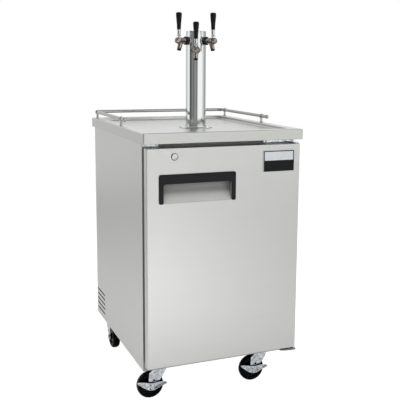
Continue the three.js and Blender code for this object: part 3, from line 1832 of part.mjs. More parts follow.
const tower = new THREE.Group();
tower.position.set(0, towerY, fieldZ);
tower.rotation.z = towerTurn;
tower.add(
  piece('tower_flange', makeTowerFlange(), polishedSteel),
  piece('tower_column', makeColumn(), polishedSteel),
  piece('tower_cap', makeTowerCap(), polishedSteel),
);
for (const { name, angle, height } of tapPlaces) {
  const tap = new THREE.Group();
  tap.position.z = height;
  tap.rotation.z = angle;
  tap.add(
    piece(`shank_${name}`, makeShank(), polishedSteel),
    piece(`faucet_${name}`, makeFaucet(), polishedSteel),
    piece(`lever_${name}`, makeLever(), polishedSteel),
    piece(`tap_handle_${name}`, makeTapHandle(), blackPlastic),
  );
  tower.add(tap);
}
kegerator.add(tower);

// Casters: where each stands and which way its wheel trails at rest
const frontCasterY = worktopFrontY + frontCasterDepth;
const rearCasterY = worktopBackY - rearCasterBackInset;
const frontCasterX = cabinetHalf - frontCasterInset;
const rearCasterX = cabinetHalf - rearCasterInset;
const casterPlaces = [
  { name: 'front_left', x: -frontCasterX, y: frontCasterY, trail: Math.PI, braked: true },
  { name: 'front_right', x: frontCasterX, y: frontCasterY, trail: Math.PI, braked: true },
  { name: 'rear_left', x: -rearCasterX, y: rearCasterY, trail: -Math.PI / 2, braked: false },
  { name: 'rear_right', x: rearCasterX, y: rearCasterY, trail: -Math.PI / 2, braked: false },
];
for (const { name, x, y, trail, braked } of casterPlaces) {
  const mount = new THREE.Group();
  mount.position.set(x, y, cabinetBottomZ);
  const plate = piece(`caster_plate_${name}`, makeCasterPlate(), zincPlate);
  plate.rotation.z = trail;
  mount.add(plate);
  const swivel = new THREE.Group();
  swivel.rotation.z = trail;
  swivel.add(
    piece(`caster_fork_${name}`, makeFork(), zincPlate),
    piece(`caster_wheel_${name}`, makeWheel(), blackRubber),
  );
  if (braked) {
    const pedal = piece(`brake_pedal_${name}`, makePedal(), zincPlate);
    pedal.position.set(casterTrail, 0, axleZ);
    swivel.add(pedal);
  }
  mount.add(swivel);
  kegerator.add(mount);
}

export default kegerator;
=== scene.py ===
# %% [markdown]
# A steel keg cooler on casters, with a column and three taps. The CAD model has already
# fixed every size and every joint. Here each visible piece gets its real roundings, its
# fittings and its finish. Lengths below are in millimetres, measured as in the CAD frame:
# X to the right, Y to the back, Z up, with the origin on the floor.

# %% Load the frame
import math

import bmesh
import bpy
from mathutils import Matrix, Vector
from mathutils.geometry import interpolate_bezier


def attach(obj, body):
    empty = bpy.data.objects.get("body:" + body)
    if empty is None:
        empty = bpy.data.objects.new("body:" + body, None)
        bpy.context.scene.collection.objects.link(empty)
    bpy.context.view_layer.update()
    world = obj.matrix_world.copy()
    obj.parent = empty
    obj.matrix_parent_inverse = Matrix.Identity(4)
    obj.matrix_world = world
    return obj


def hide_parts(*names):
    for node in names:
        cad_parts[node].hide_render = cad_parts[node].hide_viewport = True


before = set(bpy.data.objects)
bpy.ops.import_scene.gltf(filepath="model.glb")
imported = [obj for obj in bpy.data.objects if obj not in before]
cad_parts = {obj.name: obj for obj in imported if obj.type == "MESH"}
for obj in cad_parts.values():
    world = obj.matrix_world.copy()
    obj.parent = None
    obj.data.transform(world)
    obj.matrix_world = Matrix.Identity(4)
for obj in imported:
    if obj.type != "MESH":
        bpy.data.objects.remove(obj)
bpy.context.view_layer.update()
mm = 0.001

# %% [markdown]
# The camera comes first, because all that follows is judged through it. Its place, turn
# and lens were found by matching the straight edges of the worktop and the door with
# those in the photograph. A small shift stands for the photograph's crop.

# %% Camera
def rotate(degrees, axis):
    """A matrix that turns a shape about an axis."""
    return Matrix.Rotation(math.radians(degrees), 4, axis)


camera = bpy.data.objects.new("camera", bpy.data.cameras.new("camera"))
bpy.context.scene.collection.objects.link(camera)
bpy.context.scene.camera = camera
heading, dip, roll = -23.237, 8.934, 0.615
camera.rotation_euler = (rotate(heading, "Z") @ rotate(90 - dip, "X") @ rotate(roll, "Z")).to_euler()
camera.location = (-0.9873, -2.6623, 1.2104)
camera.data.sensor_width = 36
camera.data.lens = 65.66
camera.data.shift_x, camera.data.shift_y = -0.0648, -0.0572
print("camera lens in mm:", camera.data.lens)

# %% [markdown]
# Every material is a small net of nodes. Colours are written as sRGB hex values, as a
# paint chart gives them, and one function turns them to the linear values that Blender
# mixes. One more function adds a node with its settings and its links, and short ones use
# it for what comes again and again: a mix, a range, a cloud pattern, a relief, a sum.

# %% Colours and nodes
def linear(chart_hex, share=1.0):
    """Turns an sRGB hex colour to linear red, green, blue and alpha, darkened by a share."""
    shares = [int(chart_hex[i : i + 2], 16) / 255 for i in (0, 2, 4)]
    light = [s / 12.92 if s <= 0.04045 else ((s + 0.055) / 1.055) ** 2.4 for s in shares]
    return tuple(c * share for c in light) + (1.0,)


def add_node(tree, kind, settings, links):
    """Adds a node; a link's value is a plain value or another node's output."""
    made = tree.nodes.new(kind)
    for name, value in settings.items():
        setattr(made, name, value)
    for name, value in links.items():
        if isinstance(value, bpy.types.NodeSocket):
            tree.links.new(value, made.inputs[name])
        else:
            made.inputs[name].default_value = value
    return made


def mixed(tree, share, first, second):
    """Mixes two colours."""
    links = {0: share, 6: first, 7: second}
    return add_node(tree, "ShaderNodeMix", {"data_type": "RGBA"}, links).outputs[2]


def ranged(tree, value, limits, **settings):
    """Stretches a value between the limits that are named."""
    return add_node(tree, "ShaderNodeMapRange", settings, {"Value": value, **limits}).outputs[0]


def clouds(tree, place, size, detail):
    """A cloud pattern whose patches are about so many millimetres wide."""
    links = {"Vector": place, "Scale": 1 / (size * mm), "Detail": detail}
    return add_node(tree, "ShaderNodeTexNoise", {}, links).outputs[0]


def relief(tree, height, strength, depth):
    """A bump from a pattern, with its depth in millimetres."""
    links = {"Height": height, "Strength": strength, "Distance": depth * mm}
    return add_node(tree, "ShaderNodeBump", {}, links).outputs[0]


def reckoned(tree, operation, *values):
    """A sum or a product of values."""
    links = dict(enumerate(values))
    return add_node(tree, "ShaderNodeMath", {"operation": operation}, links).outputs[0]


def emptied(owner):
    """The node tree of a material or a world, with nothing in it."""
    owner.use_nodes = True
    owner.node_tree.nodes.clear()
    return owner.node_tree


def close_material(tree, surface):
    """Links a surface to the material's output."""
    add_node(tree, "ShaderNodeOutputMaterial", {}, {"Surface": surface})


def shaded(name, values):
    """A material with one Principled shader, whose values a function gives for its tree."""
    material = bpy.data.materials.new(name)
    tree = emptied(material)
    place = add_node(tree, "ShaderNodeTexCoord", {}, {}).outputs
    close_material(tree, add_node(tree, "ShaderNodeBsdfPrincipled", {}, values(tree, place)).outputs[0])
    return material


print("steel grey in linear:", [round(c, 3) for c in linear("c9c9c6")])

# %% [markdown]
# The studio is a white room. Chrome shows whatever stands round it, so the room that
# reflections see has what stands in a real one: dark flags beside the camera, a long
# bright soft box to the right, a second one to the left, and greyer walls behind. Read
# from the left edge of the polished column to its right edge, its stripes tell how bright
# each compass direction is. A ramp over the compass draws them. Below the horizon a
# second ramp has softer tones, for the upright steel sheets, and the ceiling is one grey.

# %% Studio world
compass = (
    (-180, 0.98), (-164, 0.92), (-146, 0.74), (-118, 0.72), (-99, 1.04), (-84, 1.24),
    (-76, 1.20), (-71, 0.22), (-62, 0.12), (-50, 0.10), (-43, 0.30), (-36, 0.30),
    (-30, 0.20), (-15, 0.22), (-8, 0.40), (-2, 0.40), (4, 0.25), (18, 0.30),
    (23, 0.55), (27, 1.24), (72, 1.24), (84, 1.02), (100, 0.74), (117, 0.44),
    (128, 0.44), (150, 0.62), (168, 0.94),
)
low_compass = (
    (-180, 0.78), (-133, 0.76), (-70, 0.85), (0, 1.05), (24, 1.04), (40, 0.84),
    (56, 0.58), (76, 0.48), (110, 0.66), (179, 0.78),
)
brightest = 1.24
ceiling_grey = 0.36
facing_camera = 113.4


def stripe_ramp(tree, place, stops):
    """A colour ramp over the compass, with its zero in the camera's direction."""
    ramp = add_node(tree, "ShaderNodeValToRGB", {}, {"Fac": place})
    elements = ramp.color_ramp.elements
    elements.remove(elements[1])
    for number, (degrees, light) in enumerate(stops):
        at = degrees / 360 + 0.5
        stop = elements[0] if number == 0 else elements.new(at)
        stop.position = at
        share = light / brightest
        stop.color = (share * 0.985, share, share, 1.0)
    return ramp.outputs[0]


def either(tree, share, first, second):
    """Mixes two shaders."""
    return add_node(tree, "ShaderNodeMixShader", {}, {0: share, 1: first, 2: second}).outputs[0]


def backdrop(tree, colour, strength):
    """A background of one colour and strength."""
    return add_node(tree, "ShaderNodeBackground", {}, {"Color": colour, "Strength": strength}).outputs[0]


bpy.context.scene.world = bpy.data.worlds.new("studio")
tree = emptied(bpy.context.scene.world)
rays = add_node(tree, "ShaderNodeLightPath", {}, {}).outputs
way = add_node(tree, "ShaderNodeTexCoord", {}, {}).outputs["Generated"]
links = {"Vector": way, "Rotation": (0, 0, math.radians(facing_camera))}
swung = add_node(tree, "ShaderNodeMapping", {}, links).outputs[0]
around = add_node(tree, "ShaderNodeTexGradient", {"gradient_type": "RADIAL"}, {"Vector": swung}).outputs[1]
height = add_node(tree, "ShaderNodeSeparateXYZ", {}, {0: way}).outputs["Z"]
over_floor = ranged(tree, height, {"From Min": -0.16, "From Max": -0.09}, interpolation_type="SMOOTHSTEP")
ceiling = ranged(tree, height, {"From Min": 0.42, "From Max": 0.75}, interpolation_type="SMOOTHSTEP")
walls = mixed(tree, over_floor, stripe_ramp(tree, around, low_compass), stripe_ramp(tree, around, compass))
mirrored = mixed(tree, ceiling, walls, (ceiling_grey, ceiling_grey, ceiling_grey, 1.0))
soft_room = backdrop(tree, linear("fbfcff"), 0.42)
lit = either(tree, rays["Is Glossy Ray"], soft_room, backdrop(tree, mirrored, brightest))
shown = either(tree, rays["Is Camera Ray"], lit, backdrop(tree, linear("ffffff"), 1.0))
add_node(tree, "ShaderNodeOutputWorld", {}, {"Surface": shown})
print("nodes in the studio world:", len(tree.nodes))

# %% [markdown]
# The floor is white paper. To the camera it glows a little, so that it meets the white
# room without a line, and still takes a soft shadow. To everything else it is plain
# paper, so the casters mirror the real shade under the cabinet.

# %% Floor
floor_reach = 4
camera_glow, mirror_glow, glow_strength = 0.80, 0.08, 1.25
shape = bmesh.new()
bmesh.ops.create_grid(shape, x_segments=1, y_segments=1, size=floor_reach)
mesh = bpy.data.meshes.new("floor")
shape.to_mesh(mesh)
shape.free()
floor = bpy.data.objects.new("floor", mesh)
bpy.context.scene.collection.objects.link(floor)
paper = bpy.data.materials.new("paper_floor")
tree = emptied(paper)
rays = add_node(tree, "ShaderNodeLightPath", {}, {}).outputs
matt = add_node(tree, "ShaderNodeBsdfDiffuse", {}, {"Color": linear("d7d7d7")}).outputs[0]
links = {"Color": linear("ffffff"), "Strength": glow_strength}
glow = add_node(tree, "ShaderNodeEmission", {}, links).outputs[0]
in_mirrors = reckoned(tree, "MULTIPLY", rays["Is Glossy Ray"], mirror_glow)
part_glow = reckoned(tree, "MULTIPLY_ADD", rays["Is Camera Ray"], camera_glow, in_mirrors)
close_material(tree, either(tree, part_glow, matt, glow))
mesh.materials.append(paper)
print("floor is", 2 * floor_reach, "m wide")

# %% [markdown]
# Three soft boxes light the product: one high in front, one high over the left side, and
# a tall narrow one that brightens the middle of the door. Reflections don't see them, so
# the metal mirrors only the room.

# %% Lamps
def soft_lamp(name, at, aim, width, power):
    """A square soft box that looks at a point; the metal mirrors the room, not the lamp."""
    lamp = bpy.data.objects.new(name, bpy.data.lights.new(name, "AREA"))
    lamp.data.size, lamp.data.energy = width, power
    lamp.location = at
    lamp.rotation_euler = (Vector(aim) - Vector(at)).to_track_quat("-Z", "Y").to_euler()
    lamp.visible_glossy, lamp.visible_camera = False, False
    bpy.context.scene.collection.objects.link(lamp)
    return lamp


soft_lamp("front_box", (-0.1, -1.9, 3.7), (0, -0.3, 0.7), 1.2, 62)
soft_lamp("top_box", (-0.9, 0.6, 3.3), (-0.9, 0.2, 0), 2.2, 56)
pool = soft_lamp("pool_box", (-0.1, -2.6, 0.8), (-0.1, -2.599, 0), 0.4, 24)
pool.data.shape, pool.data.size_y = "RECTANGLE", 2.6

# %% [markdown]
# Most of the outside is brushed 304 stainless steel. The mill draws a belt of grit along
# the sheet, which leaves fine parallel scratches. They spread the reflection across the
# grain, so the eye reads soft streaks along it. The real scratches are about 0.1 mm
# apart. Here they are drawn 1 mm apart for the bump and 9 mm apart for the streaks,
# because a finer pattern would not show. The Mapping node stretches both along the grain.

# %% Brushed stainless steel
scratches, streaks = (1.0, 120, 2.0), (9, 400, 3.0)


def brushed_stainless(name, chart_hex, grain_axis, roughness, painted_shade_side_hex=None):
    """Brushed sheet whose scratches run along one axis (0 is X, 1 is Y, 2 is Z).

    With a second colour, the upright folds take it and the flat top keeps the first: painted light on the top
    and painted shade on the folds.
    """

    def values(tree, place):
        patterns = []
        for pitch, length, detail in (scratches, streaks):
            stretch = [1 / (pitch * mm)] * 3
            stretch[grain_axis] = 1 / (length * mm)
            links = {"Vector": place["Object"], "Scale": stretch}
            laid = add_node(tree, "ShaderNodeMapping", {}, links).outputs[0]
            links = {"Vector": laid, "Scale": 1.0, "Detail": detail, "Roughness": 0.6}
            patterns.append(add_node(tree, "ShaderNodeTexNoise", {}, links).outputs[0])
        fine, broad = patterns
        tone = mixed(tree, broad, linear(chart_hex), linear(chart_hex, 0.965))
        # Painted light and shade: faces that point up get the lighter colour, upright folds the darker one.
        if painted_shade_side_hex:
            lit_top_share = add_node(tree, "ShaderNodeSeparateXYZ", {}, {0: place["Normal"]}).outputs["Z"]
            tone = mixed(tree, lit_top_share, linear(painted_shade_side_hex), tone)
        return {
            "Base Color": tone,
            "Metallic": 1.0,
            "Roughness": ranged(tree, broad, {"To Min": roughness - 0.03, "To Max": roughness + 0.04}),
            "Normal": relief(tree, fine, 0.10, 0.15),
        }

    return shaded(name, values)


steel_across = brushed_stainless("brushed_304_sheet_grain_across", "d2d2cf", 0, 0.34)
# The worktop's top is painted lighter and its folded skirt darker, as painted light and shade.
steel_top = brushed_stainless("brushed_304_sheet_painted_light_top", "e8e8e4", 0, 0.32, "cacac6")
steel_deep = brushed_stainless("brushed_304_sheet_grain_front_to_back", "d7d7d3", 1, 0.36)
rail_steel = brushed_stainless("satin_304_tube", "b9b9b6", 1, 0.24)
print("brushed sheets:", steel_across.name, "and", steel_deep.name)

# %% [markdown]
# The tower is chrome on brass: nickel and a very thin layer of chromium, buffed bright.
# It mirrors the room almost sharply. Zinc plate is duller and bluish: the plated casters
# and hinge straps show a faint cloudy pattern of crystals. The other metals differ from
# it in colour, in gloss and in the size of their clouds, so one function makes them all.

# %% Chrome, zinc plate and other metals
def chrome_values(tree, place):
    """Bright chrome with a faint haze."""
    rough = ranged(tree, clouds(tree, place["Object"], 40, 3.0), {"To Min": 0.05, "To Max": 0.12})
    return {"Base Color": linear("dcdddd"), "Metallic": 1.0, "Roughness": rough}


def clouded_metal(name, light_hex, dark_hex, size, smooth, coarse, dent):
    """Metal with a soft pattern of clouds, between two colours and two roughnesses."""

    def values(tree, place):
        cloud = clouds(tree, place["Object"], size, 5.0)
        links = {"Vector": place["Object"], "Scale": 1 / (size / 2 * mm)}
        crystal = add_node(tree, "ShaderNodeTexVoronoi", {}, links).outputs["Distance"]
        spread = ranged(tree, cloud, {"From Min": 0.36, "From Max": 0.64})
        return {
            "Base Color": mixed(tree, spread, linear(light_hex), linear(dark_hex)),
            "Metallic": 1.0,
            "Roughness": ranged(tree, crystal, {"To Min": smooth, "To Max": coarse}),
            "Normal": relief(tree, cloud, 0.5, dent),
        }

    return shaded(name, values)


chrome = shaded("chrome_on_brass", chrome_values)
faucet_metal = clouded_metal("polished_cast_faucet", "b3ada8", "7f7872", 8, 0.04, 0.10, 0.05)
dark_chrome = clouded_metal("black_chrome_on_brass", "4a4848", "2e2d2d", 10, 0.05, 0.10, 0.02)
zinc = clouded_metal("bright_zinc_plate", "f0f3f5", "aab1b6", 9, 0.10, 0.22, 0.5)
galvanised = clouded_metal("galvanised_sheet", "b5babc", "9ca2a5", 14, 0.34, 0.52, 0.1)
aluminium = clouded_metal("mill_finish_aluminium", "d3d6d8", "c3c7ca", 10, 0.25, 0.38, 0.05)
badge_metal = clouded_metal("satin_silver_badge_foil", "d8dadc", "d2d4d7", 60, 0.26, 0.30, 0.01)
# A matt 2B steel, darker than the skins: painted shade for the face frame in the gap round the door.
shaded_frame_steel = clouded_metal("matt_2b_stainless_painted_shade", "a8a8a5", "9f9f9c", 30, 0.58, 0.66, 0.05)
# Darker grey than the zinc: painted shade for the lower hinge under the door.
shaded_hinge_steel = clouded_metal("grey_hinge_steel_painted_shade", "8a8c8d", "6c6e70", 9, 0.30, 0.42, 0.2)
print("metals:", chrome.name, faucet_metal.name, zinc.name, galvanised.name, shaded_frame_steel.name)

# %% [markdown]
# The dark and the white parts are plastics, rubber and enamel. Moulded ABS has a fine
# spark-eroded grain from its tool, rubber is matt with a faint sheen, and stove enamel is
# smooth with a slight orange peel. They differ in roughness and in the size of the grain,
# so one function with those values makes them all. The fine pits of the black parts
# shade one another, so those mirror less than a smooth face: their level is below 0.5.
# The scoop's silver paint also has painted shade: its colour gets darker where the walls round it take the
# light away.

# %% Moulded and painted finishes
def grained(name, chart_hex, roughness, size, depth, ior, level=0.5, painted_shade_hex=None):
    """A coloured finish with a fine raised grain and slightly uneven gloss, with painted shade in its
    recesses if a shade colour is given.
    """

    def values(tree, place):
        worn = clouds(tree, place["Object"], 60, 4.0)
        tone = mixed(tree, worn, linear(chart_hex), linear(chart_hex, 0.86))
        if painted_shade_hex:
            # Painted shade: ambient occlusion darkens the colour in recesses.
            links = {"Distance": 80 * mm}
            painted_shade_ao = add_node(tree, "ShaderNodeAmbientOcclusion", {"samples": 8}, links)
            tone = mixed(tree, painted_shade_ao.outputs["AO"], linear(painted_shade_hex), tone)
        return {
            "Base Color": tone,
            "Roughness": ranged(tree, worn, {"To Min": roughness - 0.06, "To Max": roughness + 0.06}),
            "Normal": relief(tree, clouds(tree, place["Object"], size, 2.0), 0.25, depth),
            "IOR": ior,
            "Specular IOR Level": level,
        }

    return shaded(name, values)


black_abs = grained("moulded_black_abs", "0f1015", 0.42, 1.2, 0.05, 1.54, 0.22)
black_gloss = grained("black_printed_foil", "070708", 0.22, 2.5, 0.01, 1.50, 0.22)
tap_black = grained("turned_black_phenolic", "060607", 0.22, 2.0, 0.02, 1.60, 0.16)
white_hips = grained("moulded_white_polystyrene", "ecedeb", 0.38, 1.5, 0.04, 1.59)
wheel_rubber = grained("black_wheel_rubber", "020203", 0.14, 1.5, 0.02, 1.52, 0.08)
seal_rubber = grained("grey_pvc_seal", "55575a", 0.55, 1.0, 0.04, 1.53)
black_enamel = grained("black_stove_enamel", "141517", 0.28, 3.0, 0.03, 1.50)
# The scoop's grey paint carries painted shade, darkest under the handle's bar.
silver_paint = grained("satin_silver_grey_paint", "c8c8c4", 0.42, 0.8, 0.02, 1.50, 0.2, "0c0c0c")
fan_plastic = grained("grey_fan_polypropylene", "4b4e53", 0.45, 1.0, 0.03, 1.49)
foam = grained("cut_polyurethane_foam", "e6d9a8", 0.85, 2.5, 0.6, 1.45)
print("finishes:", len(bpy.data.materials))

# %% [markdown]
# Six CAD nodes are plain sheet or foam behind the skins. They keep their shape, and only get their
# finish. The face frame's steel is darker than the skins, as painted shade in the gap round the door.

# %% CAD nodes that keep their shape
plain_nodes = {
    "face_frame": shaded_frame_steel,
    "base_pan": galvanised,
    "back_panel": galvanised,
    "rear_grille": black_enamel,
    "insulation_foam": foam,
    "door_core": foam,
}
for node, material in plain_nodes.items():
    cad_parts[node].data.materials.clear()
    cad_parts[node].data.materials.append(material)
print("CAD nodes refinished:", len(plain_nodes))

# %% [markdown]
# Every new piece starts as a bmesh in millimetres. A few small tools do most of the
# work: a box between two corners, a profile spun round an axis, and a rounding of edges.
# Where a hole has to pass through a curved wall, Blender's own Boolean modifier cuts it
# once and the result is kept. Sheet gets its wall from a Solidify modifier in that way.

# %% Boxes and roundings
def merge(bm):
    """Merges the vertices that meet."""
    bmesh.ops.remove_doubles(bm, verts=bm.verts[:], dist=0.002)


def face_out(bm):
    """Turns all faces outwards."""
    bmesh.ops.recalc_face_normals(bm, faces=bm.faces[:])


def verts_of(parts):
    """The vertices among the parts that an operator returns."""
    return [part for part in parts if isinstance(part, bmesh.types.BMVert)]


def box(low, high, bm=None):
    """A box between two corners, new or added to a shape."""
    bm = bmesh.new() if bm is None else bm
    made = bmesh.ops.create_cube(bm, size=1)["verts"]
    bmesh.ops.scale(bm, vec=[h - l for l, h in zip(low, high)], verts=made)
    bmesh.ops.translate(bm, vec=[(h + l) / 2 for l, h in zip(low, high)], verts=made)
    return bm


def faces_within(bm, low, high):
    """The faces whose middles lie between two corners."""
    return [
        face
        for face in bm.faces
        if all(l <= c <= h for l, c, h in zip(low, face.calc_center_median(), high))
    ]


def open_up(bm, low, high):
    """Takes away the faces whose middles lie between two corners."""
    bmesh.ops.delete(bm, geom=faces_within(bm, low, high), context="FACES")


def edges_within(bm, low, high, along=None):
    """The edges that lie wholly between two corners, along one axis where it is given."""
    found = []
    for edge in bm.edges:
        ends = [vert.co for vert in edge.verts]
        inside = all(l <= co[i] <= h for co in ends for i, (l, h) in enumerate(zip(low, high)))
        way = ends[1] - ends[0]
        straight = along is None or abs(way[along]) > 0.999 * way.length
        if inside and straight:
            found.append(edge)
    return found


def round_off(bm, edges, radius, steps):
    """Rounds edges off with an even bevel."""
    bmesh.ops.bevel(
        bm, geom=edges, offset=radius, offset_type="OFFSET", segments=steps, profile=0.5,
        affect="EDGES", material=-1, clamp_overlap=True,
    )


def round_along(bm, low, high, axis, radius, steps):
    """Rounds the edges between two corners that run along one axis."""
    round_off(bm, edges_within(bm, low, high, axis), radius, steps)


def sharp_edges(bm, low, high):
    """Edges between two corners where two faces meet at more than 30 degrees."""
    limit = math.radians(30)
    return [e for e in edges_within(bm, low, high) if e.is_manifold and e.calc_face_angle() > limit]


def ease(bm, low, high, radius, steps):
    """Rounds the sharp edges between two corners."""
    round_off(bm, sharp_edges(bm, low, high), radius, steps)


print("tools for boxes are ready")


# %% Turned shapes
def turned(profile, steps=64):
    """Spins [radius, height] points round the Z axis and closes the poles."""
    bm = bmesh.new()
    points = [bm.verts.new((radius, 0, height)) for radius, height in profile]
    lines = [bm.edges.new(pair) for pair in zip(points, points[1:])]
    bmesh.ops.spin(
        bm, geom=points + lines, cent=(0, 0, 0), axis=(0, 0, 1), dvec=(0, 0, 0), angle=2 * math.pi,
        steps=steps, use_merge=True, use_normal_flip=False, use_duplicate=False,
    )
    bmesh.ops.remove_doubles(bm, verts=bm.verts[:], dist=0.001)
    face_out(bm)
    return bm


def rod(start, end, radius, steps=32, tip=0.0):
    """A round rod between two points, with its rims broken by a small chamfer."""
    way = Vector(end) - Vector(start)
    length, flat = way.length, radius - tip
    side = [(0, 0), (flat, 0), (radius, tip), (radius, length - tip), (flat, length), (0, length)]
    bm = turned(side, steps)
    aim = Matrix.Translation(start) @ way.to_track_quat("Z", "Y").to_matrix().to_4x4()
    bmesh.ops.transform(bm, matrix=aim, verts=bm.verts[:])
    return bm


def curve(start, pull, push, end, count):
    """Points on a soft curve between two ends."""
    return [tuple(point) for point in interpolate_bezier(start, pull, push, end, count)]


print("tools for turned shapes are ready")


# %% Moved copies, cuts and unions
def move(x, y, z):
    """A matrix that moves a shape."""
    return Matrix.Translation((x, y, z))


def add_shape(bm, shape, matrix=Matrix.Identity(4), keep=False):
    """Adds another bmesh to this one, moved by a matrix."""
    copy = bpy.data.meshes.new("copy")
    shape.to_mesh(copy)
    copy.transform(matrix)
    bm.from_mesh(copy)
    bpy.data.meshes.remove(copy)
    if not keep:
        shape.free()


def placed(shape, matrix):
    """A moved copy of a shape."""
    bm = bmesh.new()
    add_shape(bm, shape, matrix, keep=True)
    return bm


def stand_in(bm):
    """An object that shows the shape to a modifier."""
    thing = bpy.data.objects.new("shape", bpy.data.meshes.new("shape"))
    bm.to_mesh(thing.data)
    bpy.context.scene.collection.objects.link(thing)
    return thing


def take_back(bm, things):
    """Puts what the first object's modifier made into the bmesh, and removes the objects."""
    done = things[0].evaluated_get(bpy.context.evaluated_depsgraph_get())
    bm.clear()
    bm.from_mesh(done.to_mesh())
    done.to_mesh_clear()
    for thing in things:
        mesh = thing.data
        bpy.data.objects.remove(thing)
        bpy.data.meshes.remove(mesh)


def carve(bm, tool, operation="DIFFERENCE"):
    """Cuts the closed shape in tool out of the one in bm, or joins the two."""
    face_out(bm)
    face_out(tool)
    things = [stand_in(bm), stand_in(tool)]
    cutter = things[0].modifiers.new("carve", "BOOLEAN")
    cutter.operation, cutter.object, cutter.solver = operation, things[1], "EXACT"
    take_back(bm, things)
    tool.free()


print("tools for cuts are ready")

# %% [markdown]
# Sharp edges are broken by Bevel, and Weighted Normal keeps the large faces flat next to
# the small roundings.

# %% Settle a piece
crease = math.radians(35)


def settle(bm, name, body, nodes, material, edge=0.0, steps=2):
    """Makes the piece from the bmesh, all values still in millimetres."""
    merge(bm)
    face_out(bm)
    bmesh.ops.scale(bm, vec=(mm, mm, mm), verts=bm.verts[:])
    mesh = bpy.data.meshes.new(name)
    bm.to_mesh(mesh)
    bm.free()
    mesh.shade_smooth()
    mesh.set_sharp_from_angle(angle=crease)
    mesh.materials.append(material)
    piece = bpy.data.objects.new(name, mesh)
    bpy.context.scene.collection.objects.link(piece)
    if edge:
        soften = piece.modifiers.new("edge", "BEVEL")
        soften.width, soften.segments = edge * mm, steps
        soften.limit_method, soften.angle_limit = "ANGLE", crease
        soften.use_clamp_overlap = True
    flatten = piece.modifiers.new("flat", "WEIGHTED_NORMAL")
    flatten.keep_sharp, flatten.weight = True, 100
    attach(piece, body)
    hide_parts(*nodes)
    print(name, len(mesh.polygons), "faces, on", body)


print("sharp edges meet at more than", round(math.degrees(crease)), "degrees")


# %% Plates, prisms and sheet
def plate(low, high, axis, corner, steps=6):
    """A box whose four edges along one axis are rounded."""
    bm = box(low, high)
    edges = [e for e in bm.edges if abs((e.verts[1].co - e.verts[0].co)[axis]) > 1e-4]
    round_off(bm, edges, corner, steps)
    return bm


def prism(outline, low, high, axis):
    """A closed outline, given in the other two axes, drawn out along one axis."""
    bm = bmesh.new()
    places = [list(point) for point in outline]
    for place in places:
        place.insert(axis, low)
    side = bm.faces.new([bm.verts.new(place) for place in places])
    grown = bmesh.ops.extrude_face_region(bm, geom=[side])["geom"]
    step = Vector((0, 0, 0))
    step[axis] = high - low
    bmesh.ops.translate(bm, vec=step, verts=verts_of(grown))
    face_out(bm)
    return bm


def arc(centre, radius, start, end, steps):
    """Points on an arc, with its angles in degrees."""
    turns = [math.radians(start + (end - start) * i / steps) for i in range(steps + 1)]
    return [(centre[0] + radius * math.cos(t), centre[1] + radius * math.sin(t)) for t in turns]


def thicken(bm, wall):
    """Gives an open sheet its wall, on the inner side of its faces."""
    merge(bm)
    thing = stand_in(bm)
    shell = thing.modifiers.new("wall", "SOLIDIFY")
    shell.thickness, shell.offset, shell.use_even_offset = wall, -1, True
    take_back(bm, [thing])


def open_rim(bm):
    """The edges along which a sheet is open."""
    return [edge for edge in bm.edges if edge.is_boundary]


def turn_in(bm, low, high):
    """Folds the open rim inwards, to a smaller rectangle between two corners."""
    for vert in verts_of(bmesh.ops.extrude_edge_only(bm, edges=open_rim(bm))["geom"]):
        vert.co = [min(max(c, l), h) for c, l, h in zip(vert.co, low, high)]
    merge(bm)


print("tools for sheet metal are ready")

# %% [markdown]
# The worktop is one deep-drawn pan. A press sinks the field 12 mm below the rim and the
# skirt is folded down, then folded in again as a flange. Drawn sheet has no sharp edges:
# the rim turns over 6 mm, the foot of the field has a 5 mm fillet.

# %% Worktop pan
sunk_by, rim_width, rim_turn, field_fillet = 12, 38, 6, 5
tower_y, tower_hole = -65, 30
bm = box((-300, -366, 940), (300, 370, 977))
open_up(bm, (-300, -366, 939), (300, 370, 941))
top = faces_within(bm, (-300, -366, 976), (300, 370, 978))
bmesh.ops.inset_region(bm, faces=top, thickness=rim_width, use_even_offset=True)
open_up(bm, (-10, -10, 976), (10, 10, 978))
field = [e for e in open_rim(bm) if e.verts[0].co.z > 976]
sunk = bmesh.ops.extrude_edge_only(bm, edges=field)["geom"]
bmesh.ops.translate(bm, vec=(0, 0, -sunk_by), verts=verts_of(sunk))
field = [e for e in sunk if isinstance(e, bmesh.types.BMEdge) and e.is_boundary]
bmesh.ops.contextual_create(bm, geom=field)
face_out(bm)
round_along(bm, (-263, -329, 964), (263, 333, 978), 2, 16, 8)
uprights = edges_within(bm, (-301, -367, 939), (301, 371, 978), along=2)
corners = [e for e in uprights if not e.is_boundary and max(abs(v.co.x) for v in e.verts) > 299]
round_off(bm, corners, 7, 6)
ease(bm, (-263, -329, 964.9), (263, 333, 965.1), field_fillet, 5)
ease(bm, (-263, -329, 976.9), (263, 333, 977.1), 2, 3)
ease(bm, (-301, -367, 976.9), (301, 371, 977.1), rim_turn, 6)
turn_in(bm, (-288.8, -340, 940), (288.8, 365.3, 940))
ease(bm, (-301, -367, 939.9), (301, 371, 940.1), 2, 3)
thicken(bm, 1.5)
cam_slot_low, cam_slot_high = (-197.4, -350.4, 887.6), (-135.6, -344.6, 950)
carve(bm, plate(cam_slot_low, cam_slot_high, 2, 1))
carve(bm, rod((0, tower_y, 950), (0, tower_y, 990), tower_hole, steps=48))
settle(bm, "worktop_pan", "cabinet", ["worktop"], steel_top)

# %% [markdown]
# The side panels are sheet with five pressed air slots each, low at the back. Their front
# edge is folded in, where it hides in the dark gap behind the door. A small hood is
# pressed out along the inner side of each slot.

